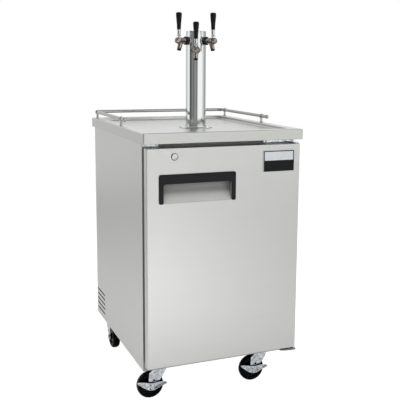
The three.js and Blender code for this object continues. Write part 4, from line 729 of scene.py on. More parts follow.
# %% Side panels with louvres
inner, outer = 274.5, 288.5
slot_front, slot_back, slot_half, lowest_slot, slot_pitch = 232, 360, 3, 160, 20.2
slot_heights = [lowest_slot + slot_pitch * louvre for louvre in range(5)]
for side, body_name in ((-1, "left"), (1, "right")):
    near, far = sorted((side * inner, side * outer))
    bm = box((near, -315.5, 132), (far, 365, 939.7))
    open_up(bm, (near, -316, 131), (far, 366, 133))
    open_up(bm, (near, -316, 939), (far, 366, 940))
    open_up(bm, (near, 364, 131), (far, 366, 940))
    open_up(bm, (side * inner - 1, -316, 131), (side * inner + 1, 366, 940))
    ease(bm, (near - 1, -316, 131), (far + 1, -315, 940), 1.8, 4)
    thicken(bm, 1.0)
    for z in slot_heights:
        slot = plate((near - 5, slot_front, z - slot_half), (far + 5, slot_back, z + slot_half), 0, 2.8, 4)
        carve(bm, slot)
    for z in slot_heights:
        hood = [(287.4, 5.4), (285.9, 4.8), (285.9, 2.6), (286.4, 2.6), (286.4, 4.4), (287.4, 4.8)]
        add_shape(bm, prism([(side * x, z + rise) for x, rise in hood], 238, 354, 1))
    nodes = ["side_panel_" + body_name]
    settle(bm, "side_skin_" + body_name, "cabinet", nodes, steel_deep)

# %% [markdown]
# The door's skin is one folded tray: the front, four sides and a narrow lip at the back
# that grips the plastic liner. It is open where the hand scoop, the lock, its cam and the
# hinge pins go through.

# %% Door skin
hinge_x, hinge_y = 276, -352
lock_x, lock_z = -189, 896
door_half, door_front, door_back, door_bottom, door_top = 288, -366, -337.4, 155, 926
bm = box((-door_half, door_front, door_bottom), (door_half, door_back, door_top))
open_up(bm, (-289, -338, 154), (289, -337, 927))
round_along(bm, (-289, -367, 154), (289, -337, 927), 1, 4, 5)
ease(bm, (-289, -366.1, 154), (289, -365.9, 927), 4, 6)
turn_in(bm, (-274, -337.4, 169), (274, -337.4, 910))
ease(bm, (-289, -337.5, 154), (289, -337.3, 927), 1.5, 3)
thicken(bm, 1.2)
carve(bm, plate((-230.8, -370, 737.2), (21.8, -360, 829.8), 1, 8))
carve(bm, rod((lock_x, -370, lock_z), (lock_x, -360, lock_z), 9.8, steps=48))
carve(bm, plate(cam_slot_low, cam_slot_high, 2, 1))
for z in (150, 930):
    carve(bm, rod((hinge_x, hinge_y, z - 10), (hinge_x, hinge_y, z + 10), 4.4))
settle(bm, "door_skin", "door", ["door_panel"], steel_across)

# %% [markdown]
# The hand scoop is a deep-drawn tray in silver paint. Seen from the side it is a soft
# ramp up to its back, then a short roof over the fingers. That outline is drawn out
# across the door, opened at the front and given its wall.

# %% Hand scoop
bottom, back, top, mouth = 737.5, -342.5, 829.5, -366
middle_x, half_scoop = -104.5, 126
ramp = curve((mouth, bottom), (mouth + 9, bottom + 12), (back + 4, bottom + 38), (back, bottom + 54), 14)
roof = curve((back, top - 9), (back, top - 3), (back - 3, top), (back - 9, top), 8)
bm = prism([*ramp, *roof, (mouth, top)], middle_x - half_scoop, middle_x + half_scoop, 0)
open_up(bm, (-231, mouth - 0.5, 730), (22, mouth + 0.1, 830))
ends = []
for edge in sharp_edges(bm, (-231, -367, 730), (22, -340, 830)):
    x0, x1 = [vert.co.x for vert in edge.verts]
    if abs(abs(x0 - middle_x) - half_scoop) < 0.1 and abs(x0 - x1) < 0.01:
        ends.append(edge)
round_off(bm, ends, 5, 5)
thicken(bm, 1.5)
settle(bm, "scoop_tray", "door", ["handle_scoop"], silver_paint, edge=0.4)

# %% [markdown]
# The handle is a moulded black frame round the scoop. Its bar is the part that the
# fingers hook behind. The mould gives it a soft outer edge and round inner corners.

# %% Handle frame
bm = box((-245, -370, 736), (36, -366.3, 837))
round_along(bm, (-246, -371, 836), (37, -366, 838), 1, 8, 8)
window = box((-229, -380, 700), (20, -360, 804))
round_along(window, (-230, -381, 803), (21, -359, 805), 1, 7, 8)
carve(bm, window)
round_along(bm, (-246, -371, 735), (37, -366, 737), 1, 4.5, 5)
finger_lip = box((-228.7, -368.6, 804.2), (19.7, -359, 816))
round_along(finger_lip, (-229, -369, 803), (20, -358, 817), 0, 1.5, 4)
add_shape(bm, finger_lip)
settle(bm, "handle_bar", "door", ["handle_frame"], black_abs, edge=1.3, steps=4)

# %% [markdown]
# The badge place is a pressed plate with a raised silver rim. Inside it lie a silver
# field, a black field and a thin black border, each its own thin foil.

# %% Bare badge place
foil_left, foil_right, foil_front, foil_back = 143, 263, -368.1, -367.7
bm = plate((foil_left - 2, -368.5, 827), (foil_right + 2, -366.3, 905), 1, 4)
carve(bm, plate((foil_left, -372, 829), (foil_right, -367.8, 903), 1, 2.5))
settle(bm, "badge_rim", "door", ["badge_plate"], badge_metal, edge=0.5, steps=3)
for name, inset, low_z, high_z, slot_name, material in (
    ("badge_upper_field", 3.4, 868.4, 899.6, "badge_silver", badge_metal),
    ("badge_lower_field", 0.2, 829.2, 866.4, "black_plastic", black_gloss),
):
    bm = plate((foil_left + inset, foil_front, low_z), (foil_right - inset, foil_back, high_z), 1, 1.5)
    settle(bm, name, "door", ["badge_plate"], material, edge=0.15)
bm = plate((foil_left + 0.2, -367.95, 866.4), (foil_right - 0.2, foil_back, 902.8), 1, 2.3)
settle(bm, "badge_border", "door", ["badge_plate"], black_gloss)

# %% [markdown]
# The cam lock is a chromed barrel in a ring. Only the plug turns: its front has the key
# slot, and behind the door's skin it carries a flat cam that swings up into the worktop's
# flange.

# %% Lock
ring = turned([
    (8.3, -3.3), (9.6, -3.3), (10.4, -3.0), (10.8, -2.4), (10.9, -1.3), (10.9, -0.9), (9.5, -0.9), (9.5, 14),
    (8.3, 14), (8.3, -3.3),
])
washer = turned([
    (9.5, -0.8), (9.5, -0.3), (12.5, -0.3), (12.5, -1.6), (11.1, -1.9), (11.1, -0.8), (9.5, -0.8),
])
lock_way = move(lock_x, door_front, lock_z) @ rotate(-90, "X")
settle(placed(ring, lock_way), "lock_ring", "door", ["lock_housing"], chrome)
settle(placed(washer, lock_way), "lock_washer", "door", ["lock_housing"], black_abs)
bm = rod((lock_x, -369.3, lock_z), (lock_x, -346, lock_z), 7.6, steps=48, tip=0.5)
carve(bm, box((lock_x - 1, -375, lock_z - 4.5), (lock_x + 1, -363.3, lock_z + 4.5)))
add_shape(bm, plate((-196, -349, 889), (-137, -346, 903), 1, 6.9, 8))
settle(bm, "lock_cylinder", "lock", ["lock_plug"], chrome)

# %% [markdown]
# The screws have round heads with a cross recess. The head is turned, and two crossed
# blades cut the recess. All screws are copies of such a head, in three sizes.

# %% Screws
def cross_screw(radius, height):
    """A round-headed screw with a cross recess, its head up along Z."""
    side = [(radius, -0.5), (radius, height * 0.35), (radius * 0.8, height * 0.85), (radius * 0.4, height)]
    bm = turned([(0, -0.5), *side, (0, height)], 24)
    half, thin, askew = radius * 0.62, radius * 0.13, 0.4
    for degrees in (0, 90):
        blade = box((-half, -thin, height * 0.45), (half, thin, height + 1))
        turn = Matrix.Rotation(math.radians(degrees) + askew, 3, "Z")
        bmesh.ops.rotate(blade, matrix=turn, verts=blade.verts[:])
        carve(bm, blade)
    return bm


screw = cross_screw(3.4, 1.6)
print("screw faces:", len(screw.faces))

# %% [markdown]
# The door hangs on two bracket hinges, the upper one zinc plated. The lower one is coloured a darker
# grey steel: painted shade for the shadow under the door. Each is a strip that is screwed to the
# cabinet's front, and an arm that carries the pin. A tapered lip stiffens the front of the lower arm.
# A blank plate closes the third row of holes, where the hinge would go for a door that opens the
# other way.

# %% Hinge brackets and blank plate
strip_front, strip_back, strip_height, gap_bottom = -320.3, -317.3, 13, 926.2


def hinge_strip(x0, x1, z0):
    """A strip with two screws on the cabinet's front."""
    bm = plate((x0, strip_front, z0), (x1, strip_back, z0 + strip_height), 1, 1.5, 3)
    for x in (x0 + 9, x1 - 9):
        add_shape(bm, screw, move(x, strip_front, z0 + strip_height / 2) @ rotate(90, "X"), keep=True)
    return bm


def hinge_arm(z0, root, front):
    """The arm that reaches forward over the hinge pin, as broad at its root as it is told."""
    toe = arc((front, hinge_y), 12, 180, 270, 10) + arc((hinge_x, hinge_y), 12, 270, 360, 10)
    return prism([(root, -318), *toe, (door_half, -318)], z0, z0 + 4, 2)


def hinge_pin(low, high, radius, steps=32, tip=0.6):
    """A piece of the hinge pin between two heights."""
    return rod((hinge_x, hinge_y, low), (hinge_x, hinge_y, high), radius, steps, tip)


bm = hinge_strip(164, door_half, gap_bottom)
add_shape(bm, hinge_arm(gap_bottom, 264, 275))
add_shape(bm, hinge_pin(904, 927, 4))
settle(bm, "top_hinge_bracket", "cabinet", ["upper_hinge"], zinc, edge=0.4)
bm = hinge_strip(219, door_half, 139.8)
add_shape(bm, hinge_arm(148.8, 222, 240))
lip = [(226, 150.4), (248, 146.8), (286, 144.8), (291, 146.6), (291, 152.8), (226, 152.8)]
add_shape(bm, prism(lip, -365, -362, 1))
add_shape(bm, hinge_pin(152, 175, 4))
add_shape(bm, hinge_pin(141, 149, 7, steps=6, tip=0.8))
settle(bm, "bottom_hinge_bracket", "cabinet", ["lower_hinge"], shaded_hinge_steel, edge=0.4)
bm = hinge_strip(-door_half, -232, gap_bottom)
settle(bm, "spare_hinge_cover", "cabinet", ["blank_plate"], zinc, edge=0.4)

# %% [markdown]
# The guard rail is a steel tube bent round both back corners. It grows from one ring of
# edges: the ring runs along the side, turns about the middle of the bend, runs across the
# back, and so on. Four posts with round feet carry it, and a knuckle clamps each joint.

# %% Tube tools
def run(bm, ring, step):
    """Draws the tube straight on, and returns its new end."""
    grown = bmesh.ops.extrude_edge_only(bm, edges=ring)["geom"]
    bmesh.ops.translate(bm, vec=step, verts=verts_of(grown))
    return [e for e in grown if isinstance(e, bmesh.types.BMEdge) and e.is_boundary]


def bend(bm, ring, middle, axis, degrees, steps=12):
    """Draws the tube round a bend, and returns its new end."""
    ends = list({vert for edge in ring for vert in edge.verts})
    made = bmesh.ops.spin(
        bm, geom=ends + ring, cent=middle, axis=axis, dvec=(0, 0, 0), angle=math.radians(degrees),
        steps=steps, use_duplicate=False,
    )
    return [e for e in made["geom_last"] if isinstance(e, bmesh.types.BMEdge)]


print("tools for tubes are ready")

# %% Guard rail
tube_x, tube_z, tube_radius, side_length = 286, 1002, 6.4, 420
to_back = rotate(-90, "X")
bm = bmesh.new()
start = move(-tube_x, -96, tube_z) @ to_back
bmesh.ops.create_circle(bm, segments=24, radius=tube_radius, cap_ends=False, matrix=start)
end = run(bm, bm.edges[:], (0, side_length, 0))
end = bend(bm, end, (-256, 324, tube_z), (0, 0, 1), -90)
end = run(bm, end, (512, 0, 0))
end = bend(bm, end, (256, 324, tube_z), (0, 0, 1), -90)
end = run(bm, end, (0, -side_length, 0))
bmesh.ops.holes_fill(bm, edges=open_rim(bm))
foot = [(8, 977.3), (8, 978.6), (7.5, 979.8), (6.6, 980.3), (5.6, 980.6), (5, 981.6), (5, tube_z)]
foot = turned([(0, 977.3), *foot, (0, tube_z)], 32)
end_cap = [(0, 0), (3.6, 0.3), (6, 1.1), (7.1, 2.4), (7.6, 4.4), (7.6, 11), (7.0, 12), (0, 12)]
end_cap = turned(end_cap, 40)
posts = bmesh.new()
for x in (-tube_x, tube_x):
    add_shape(bm, end_cap, move(x, -101, tube_z) @ to_back, keep=True)
    for y in (-48, 324):
        add_shape(posts, foot, move(x, y, 0), keep=True)
        add_shape(bm, rod((x, y - 8, tube_z), (x, y + 8, tube_z), 8.6, tip=1.4))
settle(bm, "rail_tube", "cabinet", ["guard_rail"], rail_steel)
settle(posts, "rail_posts", "cabinet", ["guard_rail"], chrome)

# %% [markdown]
# The tower is a chromed brass column on a flange. It stands in its own frame, turned a
# little from the cabinet, so all its parts share one matrix.

# %% Tower column
tower_foot, tower_turn = 965, -20.8
tower_way = move(0, tower_y, tower_foot) @ rotate(tower_turn, "Z")
along_x = rotate(90, "Y")
taps = {"left": (323, -136.5), "centre": (289, -90), "right": (323, -43.5)}


def tap_way(name):
    """Where a tap's own frame stands: X runs out along its shank, Z is up."""
    height, degrees = taps[name]
    return tower_way @ move(0, 0, height) @ rotate(degrees, "Z")


flange = turned([
    (38.3, 0.3), (62.2, 0.3), (63, 0.8), (63, 1.7), (62.5, 2.7), (61.2, 3.2), (46, 3.2), (43.4, 3.7),
    (42, 4.8), (41.5, 6.4), (41.5, 8.1), (41.1, 8.7), (40.4, 9), (38.3, 9), (38.3, 0.3),
], 96)
flange_screw = cross_screw(4, 2.2)
for quarter in range(4):
    turn = math.radians(45 + 90 * quarter)
    add_shape(flange, flange_screw, move(53 * math.cos(turn), 53 * math.sin(turn), 3.2), keep=True)
settle(placed(flange, tower_way), "tower_foot_ring", "cabinet", ["tower_flange"], chrome)
column = turned([
    (36, 0.3), (38, 0.3), (38, 268), (38, 306), (38, 342), (38, 353.3), (37.6, 353.7), (36, 353.7), (36, 0.3),
], 96)
for height, degrees in taps.values():
    out = rotate(degrees, "Z") @ Vector((60, 0, 0))
    carve(column, rod((0, 0, height), out + Vector((0, 0, height)), 9.3, steps=40))
settle(placed(column, tower_way), "tower_tube", "cabinet", ["tower_column"], chrome)
cap = turned([
    (0, 346), (35.7, 346), (35.7, 354), (37.6, 354), (38, 354.4), (38, 357.6), (37.6, 358.8), (36.8, 359.5),
    (35.6, 359.8), (30, 360), (0, 360),
], 96)
settle(placed(cap, tower_way), "tower_lid", "cabinet", ["tower_cap"], chrome)

# %% [markdown]
# Each tap is a cast and polished faucet on a threaded shank. A ring nut with spanner
# notches holds it. The lever is a ball with a stem, and the ball sits in a socket in the
# faucet's turret, which a cone opens upwards so that the lever can swing. Barrel, turret
# and spout are joined first, and the socket, the cone and the bore are cut afterwards.

# %% Shank and ring nut
shank = turned([
    (0, 10), (8.4, 10), (9, 10.6), (9, 38.3), (14.8, 38.3), (15.5, 39), (15.5, 41.2), (15, 42.2), (14, 42.8),
    (9, 42.8), (9, 44.4), (8.4, 45), (0, 45),
], 48)
add_shape(shank, turned([(9, 27), (14, 27), (14, 33), (9, 33), (9, 27)], 6))
ring_nut = turned([
    (9.2, 45.3), (14.4, 45.3), (15.5, 46.4), (15.5, 55), (14.6, 56.1), (11.3, 56.3), (9.2, 56.3), (9.2, 45.3),
])
for notch in range(4):
    spanner = box((-1.6, 13.9, 44), (1.6, 17, 53))
    turn = Matrix.Rotation(math.radians(45 + 90 * notch), 3, "Z")
    bmesh.ops.rotate(spanner, matrix=turn, verts=spanner.verts[:])
    carve(ring_nut, spanner)
ring_nut = placed(ring_nut, along_x)
print("ring nut faces:", len(ring_nut.faces))

# %% Faucet body
ball_radius, socket_radius, ball_height, ball_out = 6, 6.8, 4, 86
to_ball = move(ball_out, 0, 0)
faucet = placed(turned([
    (0, 45.6), (9, 45.6), (9, 56.6), (11, 57.5), (11, 70), (11.3, 74), (12.2, 78), (12.6, 83), (12.6, 87),
    (12.2, 91), (11.2, 95), (9.4, 98.6), (7, 100.9), (4.2, 101.8), (0, 102),
]), along_x)
turret = turned([(0, -2), (12.5, -2), (12.5, 7.6), (12.2, 8.8), (11.4, 9.7), (10.4, 10), (0, 10)])
carve(faucet, placed(turret, to_ball), "UNION")
spout = turned([(0, 0), (9.6, 0), (9.3, -10), (8.3, -24), (7.9, -32), (7.5, -32.4), (0, -32.4)], 48)
# A black ring at the spout's end: painted shade for the dark mouth of the spout.
spout_shade_ring = turned([
    (5.7, -32.6), (7.5, -32.6), (7.8, -33), (7.7, -35.4), (7.2, -36.6), (6.5, -37), (5.7, -36.6),
    (5.7, -32.6),
], 48)
lean = move(76, 0, 0) @ rotate(-16, "Y")
carve(faucet, placed(spout, lean), "UNION")
carve(faucet, placed(rod((0, 0, -60), (0, 0, -19), 5.6), lean))


def ball(radius, degrees, steps):
    """The outline of a ball, from its lowest point up to an angle."""
    turns = [math.radians(degrees * i / steps) for i in range(steps + 1)]
    return [(radius * math.sin(turn), ball_height - radius * math.cos(turn)) for turn in turns]


socket = turned([*ball(socket_radius, 113.5, 12), (15.2, 20), (0, 20)], 40)
carve(faucet, placed(socket, to_ball))
print("faucet faces:", len(faucet.faces))

# %% Levers and black tap handles
lever = turned(ball(ball_radius, 180, 16), 40)
stem = turned([
    (0, 4), (3.6, 4), (3.6, 15.4), (8.2, 15.4), (8.8, 16), (8.6, 17.2), (6.8, 20.4), (5.8, 21), (4.8, 21.6),
    (4.8, 22.8), (5.9, 23.4), (6.8, 24.4), (7.0, 35.2), (7.4, 35.8), (7.4, 36.6), (7.0, 37), (7.0, 37.6),
    (7.6, 38.2), (7.6, 39.6), (7.2, 40), (0, 40),
], 48)
add_shape(lever, stem)
grip_rise = curve((7.4, 41.6), (7.5, 62), (10.2, 76), (11, 93), 14)
grip_top = [(11, 95.6), (10.6, 98), (9.4, 99.8), (7.4, 100.9), (4, 101.4), (0, 101.5)]
grip = turned([(0, 40.3), (6.6, 40.3), (7.2, 40.7), *grip_rise, *grip_top])
for name in taps:
    way = tap_way(name)
    body, node = "cabinet", ["faucet_" + name]
    threaded, cast, nut = placed(shank, way @ along_x), placed(faucet, way), placed(ring_nut, way)
    settle(threaded, "shank_and_nut_" + name, body, ["shank_" + name], chrome)
    settle(cast, "faucet_body_" + name, body, node, faucet_metal, edge=0.3)
    settle(nut, "ring_nut_" + name, body, node, dark_chrome, edge=0.3)
    # The spout's black end ring is painted shade.
    settle(placed(spout_shade_ring, way @ lean), "spout_painted_shade_ring_" + name, body, node, black_abs)
    body, hinged = "tap_" + name, way @ to_ball
    settle(placed(lever, hinged), "ball_lever_" + name, body, ["lever_" + name], chrome)
    settle(placed(grip, hinged), "tap_grip_" + name, body, ["tap_handle_" + name], tap_black)

# %% [markdown]
# The swivel casters are pressed from zinc plated sheet. The top plate is bolted under the
# cabinet, the raceway holds the balls, and the fork is a U of 2.5 mm sheet: straight at
# the trailing side, slanting on the other. Two nuts hold the axle. The wheels are black
# rubber with fine moulded rings, which catch the light as thin circles.

# %% Caster plate
top_plate = plate((-46, -33, -3.3), (46, 33, -0.3), 2, 8)
for x in (-35, 35):
    for y in (-22, 22):
        bolt = turned([(0, -7.3), (4.2, -7.3), (5, -6.6), (5, -3.2), (0, -3.2)], 6)
        add_shape(top_plate, bolt, move(x, y, 0))
raceway = turned([
    (0, -2), (26, -2), (26, -4), (25.6, -5.6), (24.4, -7.4), (23, -9.7), (6.5, -9.7), (6.5, -14.3),
    (10, -14.3), (10, -16.6), (9, -17.6), (0, -17.6),
])
add_shape(top_plate, raceway)
print("plate faces:", len(top_plate.faces))

# %% Caster fork
axle_x, axle_z, fork_half, fork_sheet = 41, -83, 20, 2.5
to_axle = move(axle_x, 0, axle_z)
axle_end = arc((axle_x, axle_z), 13, 200, 392, 24)
trailing = [(49.5, -38), (48.5, -35.5), (28, -16), (25, -14), (25, -10)]
fork = prism([(-21, -10), (-21, -14), (-1, -51), *axle_end, *trailing], -fork_half, fork_half, 1)
inside = box((-80, fork_sheet - fork_half, -200), (80, fork_half - fork_sheet, -14))
round_along(inside, (-81, -18, -15), (81, 18, -13), 0, 2.5, 4)
round_along(fork, (-30, -21, -10.1), (30, 21, -9.9), 0, 4.5, 5)
carve(fork, inside)
carve(fork, plate((-29, -17, -13.8), (29, 17, -10.2), 2, 8), "UNION")
carve(fork, rod((0, 0, -30), (0, 0, 0), 7))
carve(fork, rod((31, -30, -62), (31, 30, -62), 4.2))
for side in (-1, 1):
    rim = [(4.2, 17.6), (7.2, 17.6), (7.2, 20), (6.2, 20.5), (5.2, 20.8), (4.2, 20.5), (4.2, 17.6)]
    add_shape(fork, turned(rim, 32), move(31, 0, -62) @ rotate(-90 * side, "X"))
add_shape(fork, rod((axle_x, -20.4, axle_z), (axle_x, 20.4, axle_z), 5))
for side in (-1, 1):
    washer = turned([(0, 19.9), (10.6, 19.9), (10.6, 20.9), (0, 20.9)], 40)
    hexagon = turned([(0, 20.8), (9, 20.8), (9, 24.8), (8, 26), (0, 26)], 6)
    for part in (washer, hexagon):
        add_shape(fork, part, to_axle @ rotate(-90 * side, "X"))
print("fork faces:", len(fork.faces))

# %% Caster wheel
half_wheel = [
    (5.3, 17.2), (9.5, 17.2), (11, 16.4), (11.8, 14), (12.2, 10.6), (13.4, 9.4), (19, 9.2), (20, 9.8),
    (22, 9.8), (23, 9.2), (30, 9.4), (32, 10.4), (33.4, 13.2), (34.8, 14.6), (36, 15), (38, 15),
    (38.6, 14.5), (39.4, 14.5), (40, 15), (42, 14.8), (44.6, 13.6), (46.8, 11.6), (48.2, 9), (48.9, 5.5),
    (49, 2),
]
wheel = turned([*half_wheel, *[(r, -h) for r, h in reversed(half_wheel)], half_wheel[0]], 96)
print("wheel faces:", len(wheel.faces))

# %% [markdown]
# The brake is a rocking pedal in the shape of a bow tie, on the outer end of the axle.
# Its lower rim is rolled outwards to tread on, and the roll stands out as a bright line.

# %% Brake pedal
under = curve((-54, 9), (-38, 3), (-20, -2), (-8, -9), 12)
under += curve((8, -9), (22, -6), (38, 8), (54, 20), 12)
over = curve((54, 24), (38, 26), (20, 17), (0, 14), 10)
over += curve((0, 14), (-18, 15), (-36, 18), (-54, 13), 10)[1:]
pedal = prism(under + over, 26.3, 28.8, 1)
add_shape(pedal, prism(under + [(x, z + 2.5) for x, z in reversed(under)], 28.5, 36.5, 1))
boss = turned([(0, 26.5), (8.6, 26.5), (8.6, 31), (7.6, 32), (0, 32)], 40)
add_shape(pedal, boss, to_back)
print("pedal faces:", len(pedal.faces))

# %% Casters in their places
casters = {
    "front_left": (-203, -248, 180),
    "front_right": (203, -248, 180),
    "rear_left": (-244, 305, -90),
    "rear_right": (244, 305, -90),
}
for name, (x, y, degrees) in casters.items():
    way = move(x, y, 132) @ rotate(degrees, "Z")
    horn, node = placed(fork, way), ["caster_fork_" + name]
    tyre = placed(wheel, way @ to_axle @ rotate(90, "X"))
    top = placed(top_plate, way)
    settle(top, "caster_top_" + name, "cabinet", ["caster_plate_" + name], zinc, edge=0.5)
    settle(horn, "caster_horn_" + name, "caster_" + name, node, zinc, edge=0.6, steps=3)
    node = ["caster_wheel_" + name]
    settle(tyre, "rubber_wheel_" + name, "wheel_" + name, node, wheel_rubber)
    if name.startswith("front"):
        rocker, node = placed(pedal, way @ to_axle), ["brake_pedal_" + name]
        settle(rocker, "brake_rocker_" + name, "brake_" + name, node, zinc, edge=0.8, steps=3)

# %% [markdown]
# With the door open, the inside shows: a vacuum formed liner of white polystyrene with
# large soft corners, a step over the machine compartment, and the air duct with its fan
# on the back wall. The liner starts as the outline of its side view, drawn out in width.

# %% Inner liner
half_width, half_height, middle_z, lip_width = 238.5, 341.5, 538.5, 10
outline = [(-318.8, 197), (124, 197), (124, 437), (314, 437), (314, 880), (-318.8, 880)]
bm = prism(outline, -half_width, half_width, 0)
open_up(bm, (-239, -319, 190), (239, -318.7, 890))
round_off(bm, [e for e in bm.edges if e.is_manifold], 14, 6)
bmesh.ops.reverse_faces(bm, faces=bm.faces[:])
for vert in verts_of(bmesh.ops.extrude_edge_only(bm, edges=open_rim(bm))["geom"]):
    vert.co.x *= (half_width + lip_width) / half_width
    vert.co.z = middle_z + (vert.co.z - middle_z) * (half_height + lip_width) / half_height
thicken(bm, 1.5)
carve(bm, rod((0, tower_y, 870), (0, tower_y, 895), tower_hole, steps=48))
settle(bm, "formed_liner", "cabinet", ["inner_liner"], white_hips, edge=0.6)

# %% [markdown]
# The door's own liner is a formed tray with a raised rim. Round it runs the seal: a soft
# bellows with a magnet strip in its front. Its cross-section runs round a rectangle and
# is mitred at the corners, as real seals are welded.

# %% Door liner
bm = plate((-221.5, -335, 214), (221.5, -303, 863), 1, 14)
carve(bm, plate((-193, -309, 242), (193, -290, 835), 1, 9))
ease(bm, (-222, -303.1, 213), (222, -302.9, 864), 4.5, 5)
ease(bm, (-194, -309.1, 241), (194, -308.9, 836), 1.4, 3)
add_shape(bm, plate((-277, -337.1, 166), (277, -333.6, 913), 1, 6))
settle(bm, "formed_door_liner", "door", ["door_liner"], white_hips, edge=0.8, steps=3)


# %% Door seal
def picture_frame(profile, half, low, high):
    """Runs a closed [inset, depth] profile round a rectangle, with mitred corners."""
    far = 1000
    bm = turned([(far - inset, depth) for inset, depth in profile], 4)
    bmesh.ops.rotate(bm, matrix=Matrix.Rotation(math.pi / 4, 3, "Z"), verts=bm.verts[:])
    middle, reach = (high + low) / 2, (high - low) / 2
    for vert in bm.verts:
        inset = far - vert.co.xy.length
        x = math.copysign(half - inset, vert.co.x)
        z = middle + math.copysign(reach - inset, vert.co.y)
        vert.co = (x, vert.co.z, z)
    return bm


bellows = [
    (12, -333.3), (12, -329.4), (13, -328.5), (17, -327.6), (14.6, -325.6), (17, -323.6), (13, -322.8),
    (12, -321.8), (12, -318.4), (13.1, -317.3), (28.9, -317.3), (30, -318.4), (30, -321.8), (29, -322.8),
    (25, -323.6), (27.4, -325.6), (25, -327.6), (29, -328.5), (30, -329.4), (30, -333.3), (12, -333.3),
]
seal_top = 924
bm = picture_frame(bellows, door_half, door_bottom, seal_top)
settle(bm, "magnetic_seal", "door", ["door_gasket"], seal_rubber)

# %% [markdown]
# The air duct is a formed cover with a round window for the fan, slots for the returning
# air and a hole for the thermostat. A guard of thin wires covers the window, and three
# arms hold the fan's motor behind it.

# %% Air duct on the back wall
fan_x, fan_z = -80, 702
knob_x, knob_z = 96, 745
cut_from, cut_to = 240, 262
lowest_row, row_pitch, row_half = 590, 13, 2.5
bm = box((-170, 254, 570), (170, 313.7, 810))
open_up(bm, (-170, 313, 570), (170, 314, 810))
round_along(bm, (-171, 253, 569), (171, 314, 811), 1, 10, 6)
ease(bm, (-171, 253.9, 569), (171, 254.1, 811), 6, 5)
thicken(bm, 2.5)
carve(bm, rod((fan_x, cut_from, fan_z), (fan_x, cut_to, fan_z), 49, steps=72))
carve(bm, rod((knob_x, cut_from, knob_z), (knob_x, cut_to, knob_z), 3.3))
for row in range(5):
    z = lowest_row + row_pitch * row
    carve(bm, plate((41, cut_from, z - row_half), (151, cut_to, z + row_half), 1, 2.4, 4))
hub, wire_radius = Vector((fan_x, 255.2, fan_z)), 1.2
for radius in (14, 25, 36, 47.6):
    wire = turned(arc((radius, 0), wire_radius, 0, 360, 8))
    add_shape(bm, wire, Matrix.Translation(hub) @ to_back)
for spoke in range(8):
    turn = math.pi * spoke / 4
    out = Vector((math.cos(turn), 0, math.sin(turn)))
    add_shape(bm, rod(hub + out * 13, hub + out * 49.5, wire_radius, steps=12))
add_shape(bm, rod((fan_x, 254.2, fan_z), (fan_x, 256.4, fan_z), 14, steps=48, tip=0.6))
add_shape(bm, rod((fan_x, 283.5, fan_z), (fan_x, 305.5, fan_z), 15, steps=48, tip=1.5))
hub = Vector((fan_x, 288, fan_z))
for arm in range(3):
    turn = math.radians(30 + 120 * arm)
    out = Vector((math.cos(turn), 0, -math.sin(turn)))
    foot = hub + out * 54.5
    add_shape(bm, rod(hub + out * 8, foot, 2.6, steps=16, tip=0.6))
    add_shape(bm, rod(foot, (foot.x, 256, foot.z), 2.8, steps=16, tip=0.4))
settle(bm, "air_duct", "cabinet", ["evaporator_cover"], white_hips, edge=0.5)

# %% [markdown]
# The thermostat has a round dial with twelve finger grooves. A flat pointer tells how
# far it is turned.

# %% Thermostat knob
knob = turned([
    (0, 15), (11, 15), (12.4, 14.4), (13, 13), (13, 2.2), (22, 2), (22.7, 1.6), (23, 0.9), (23, 0), (3, 0),
    (3, -10.3), (0, -10.3),
], 48)
for groove in range(12):
    turn = math.radians(15 + 30 * groove)
    x, y = 14.2 * math.cos(turn), 14.2 * math.sin(turn)
    carve(knob, rod((x, y, 2.6), (x, y, 20), 2.2, steps=16))
add_shape(knob, box((-2, -17, 1.8), (2, 0, 15)))
way = move(knob_x, 253.7, knob_z) @ rotate(90, "X") @ rotate(180, "Z")
nodes = ["thermostat_knob"]
settle(placed(knob, way), "thermostat_dial", "thermostat", nodes, black_abs, edge=0.4)

# %% [markdown]
# Both fans have five blades. A blade is cut from flat sheet, sliced across at five radii,
# and twisted the more the nearer it is to the hub, as a real one is pressed.

# %% Fans
def fan(radius, hub, length, gauge):
    """Five twisted blades on a hub; the axis is X and the hub starts at zero."""
    whole = rod((0, 0, 0), (length, 0, 0), hub, steps=48, tip=2)
    add_shape(whole, rod((0, 0, 0), (length + 12, 0, 0), 3, steps=20))
    tip = arc((0, 0), radius, 118, 68, 16)
    leading = [(-0.30 * radius, hub * 0.7), (-0.44 * radius, 0.55 * radius)]
    trailing = [(0.14 * radius, hub * 0.75), (0.0, hub * 0.62)]
    blade = prism([*leading, *tip, *trailing], -gauge / 2, gauge / 2, 0)
    for share in (0.3, 0.45, 0.6, 0.75, 0.9):
        parts = blade.verts[:] + blade.edges[:] + blade.faces[:]
        cut = (0, 0, radius * share)
        bmesh.ops.bisect_plane(blade, geom=parts, dist=1e-4, plane_co=cut, plane_no=(0, 0, 1))
    for vert in blade.verts:
        twist = math.radians(33 - 13 * vert.co.z / radius)
        vert.co = Matrix.Rotation(twist, 3, "Z") @ vert.co
    for number in range(5):
        add_shape(whole, blade, move(length / 2, 0, 0) @ rotate(72 * number, "X"), keep=True)
    return whole


warm_fan = Vector((0, 262.5, 247.3))
blade_gauge = 1.4
bm = placed(fan(69.5, 17, 16, blade_gauge), Matrix.Translation(warm_fan + Vector((-211, 0, 0))))
settle(bm, "condenser_fan_wheel", "condenser_fan", ["condenser_fan"], fan_plastic, edge=0.4)
bm = placed(fan(45.6, 14, 12, blade_gauge), move(fan_x, 271.2, fan_z) @ rotate(90, "Z"))
settle(bm, "cold_fan_wheel", "evaporator_fan", ["evaporator_fan"], fan_plastic, edge=0.4)

# %% [markdown]
# Behind the grille sit the hermetic compressor on rubber feet, and the condenser with
# its fan. The compressor's shell is two pressed halves welded at a flange.

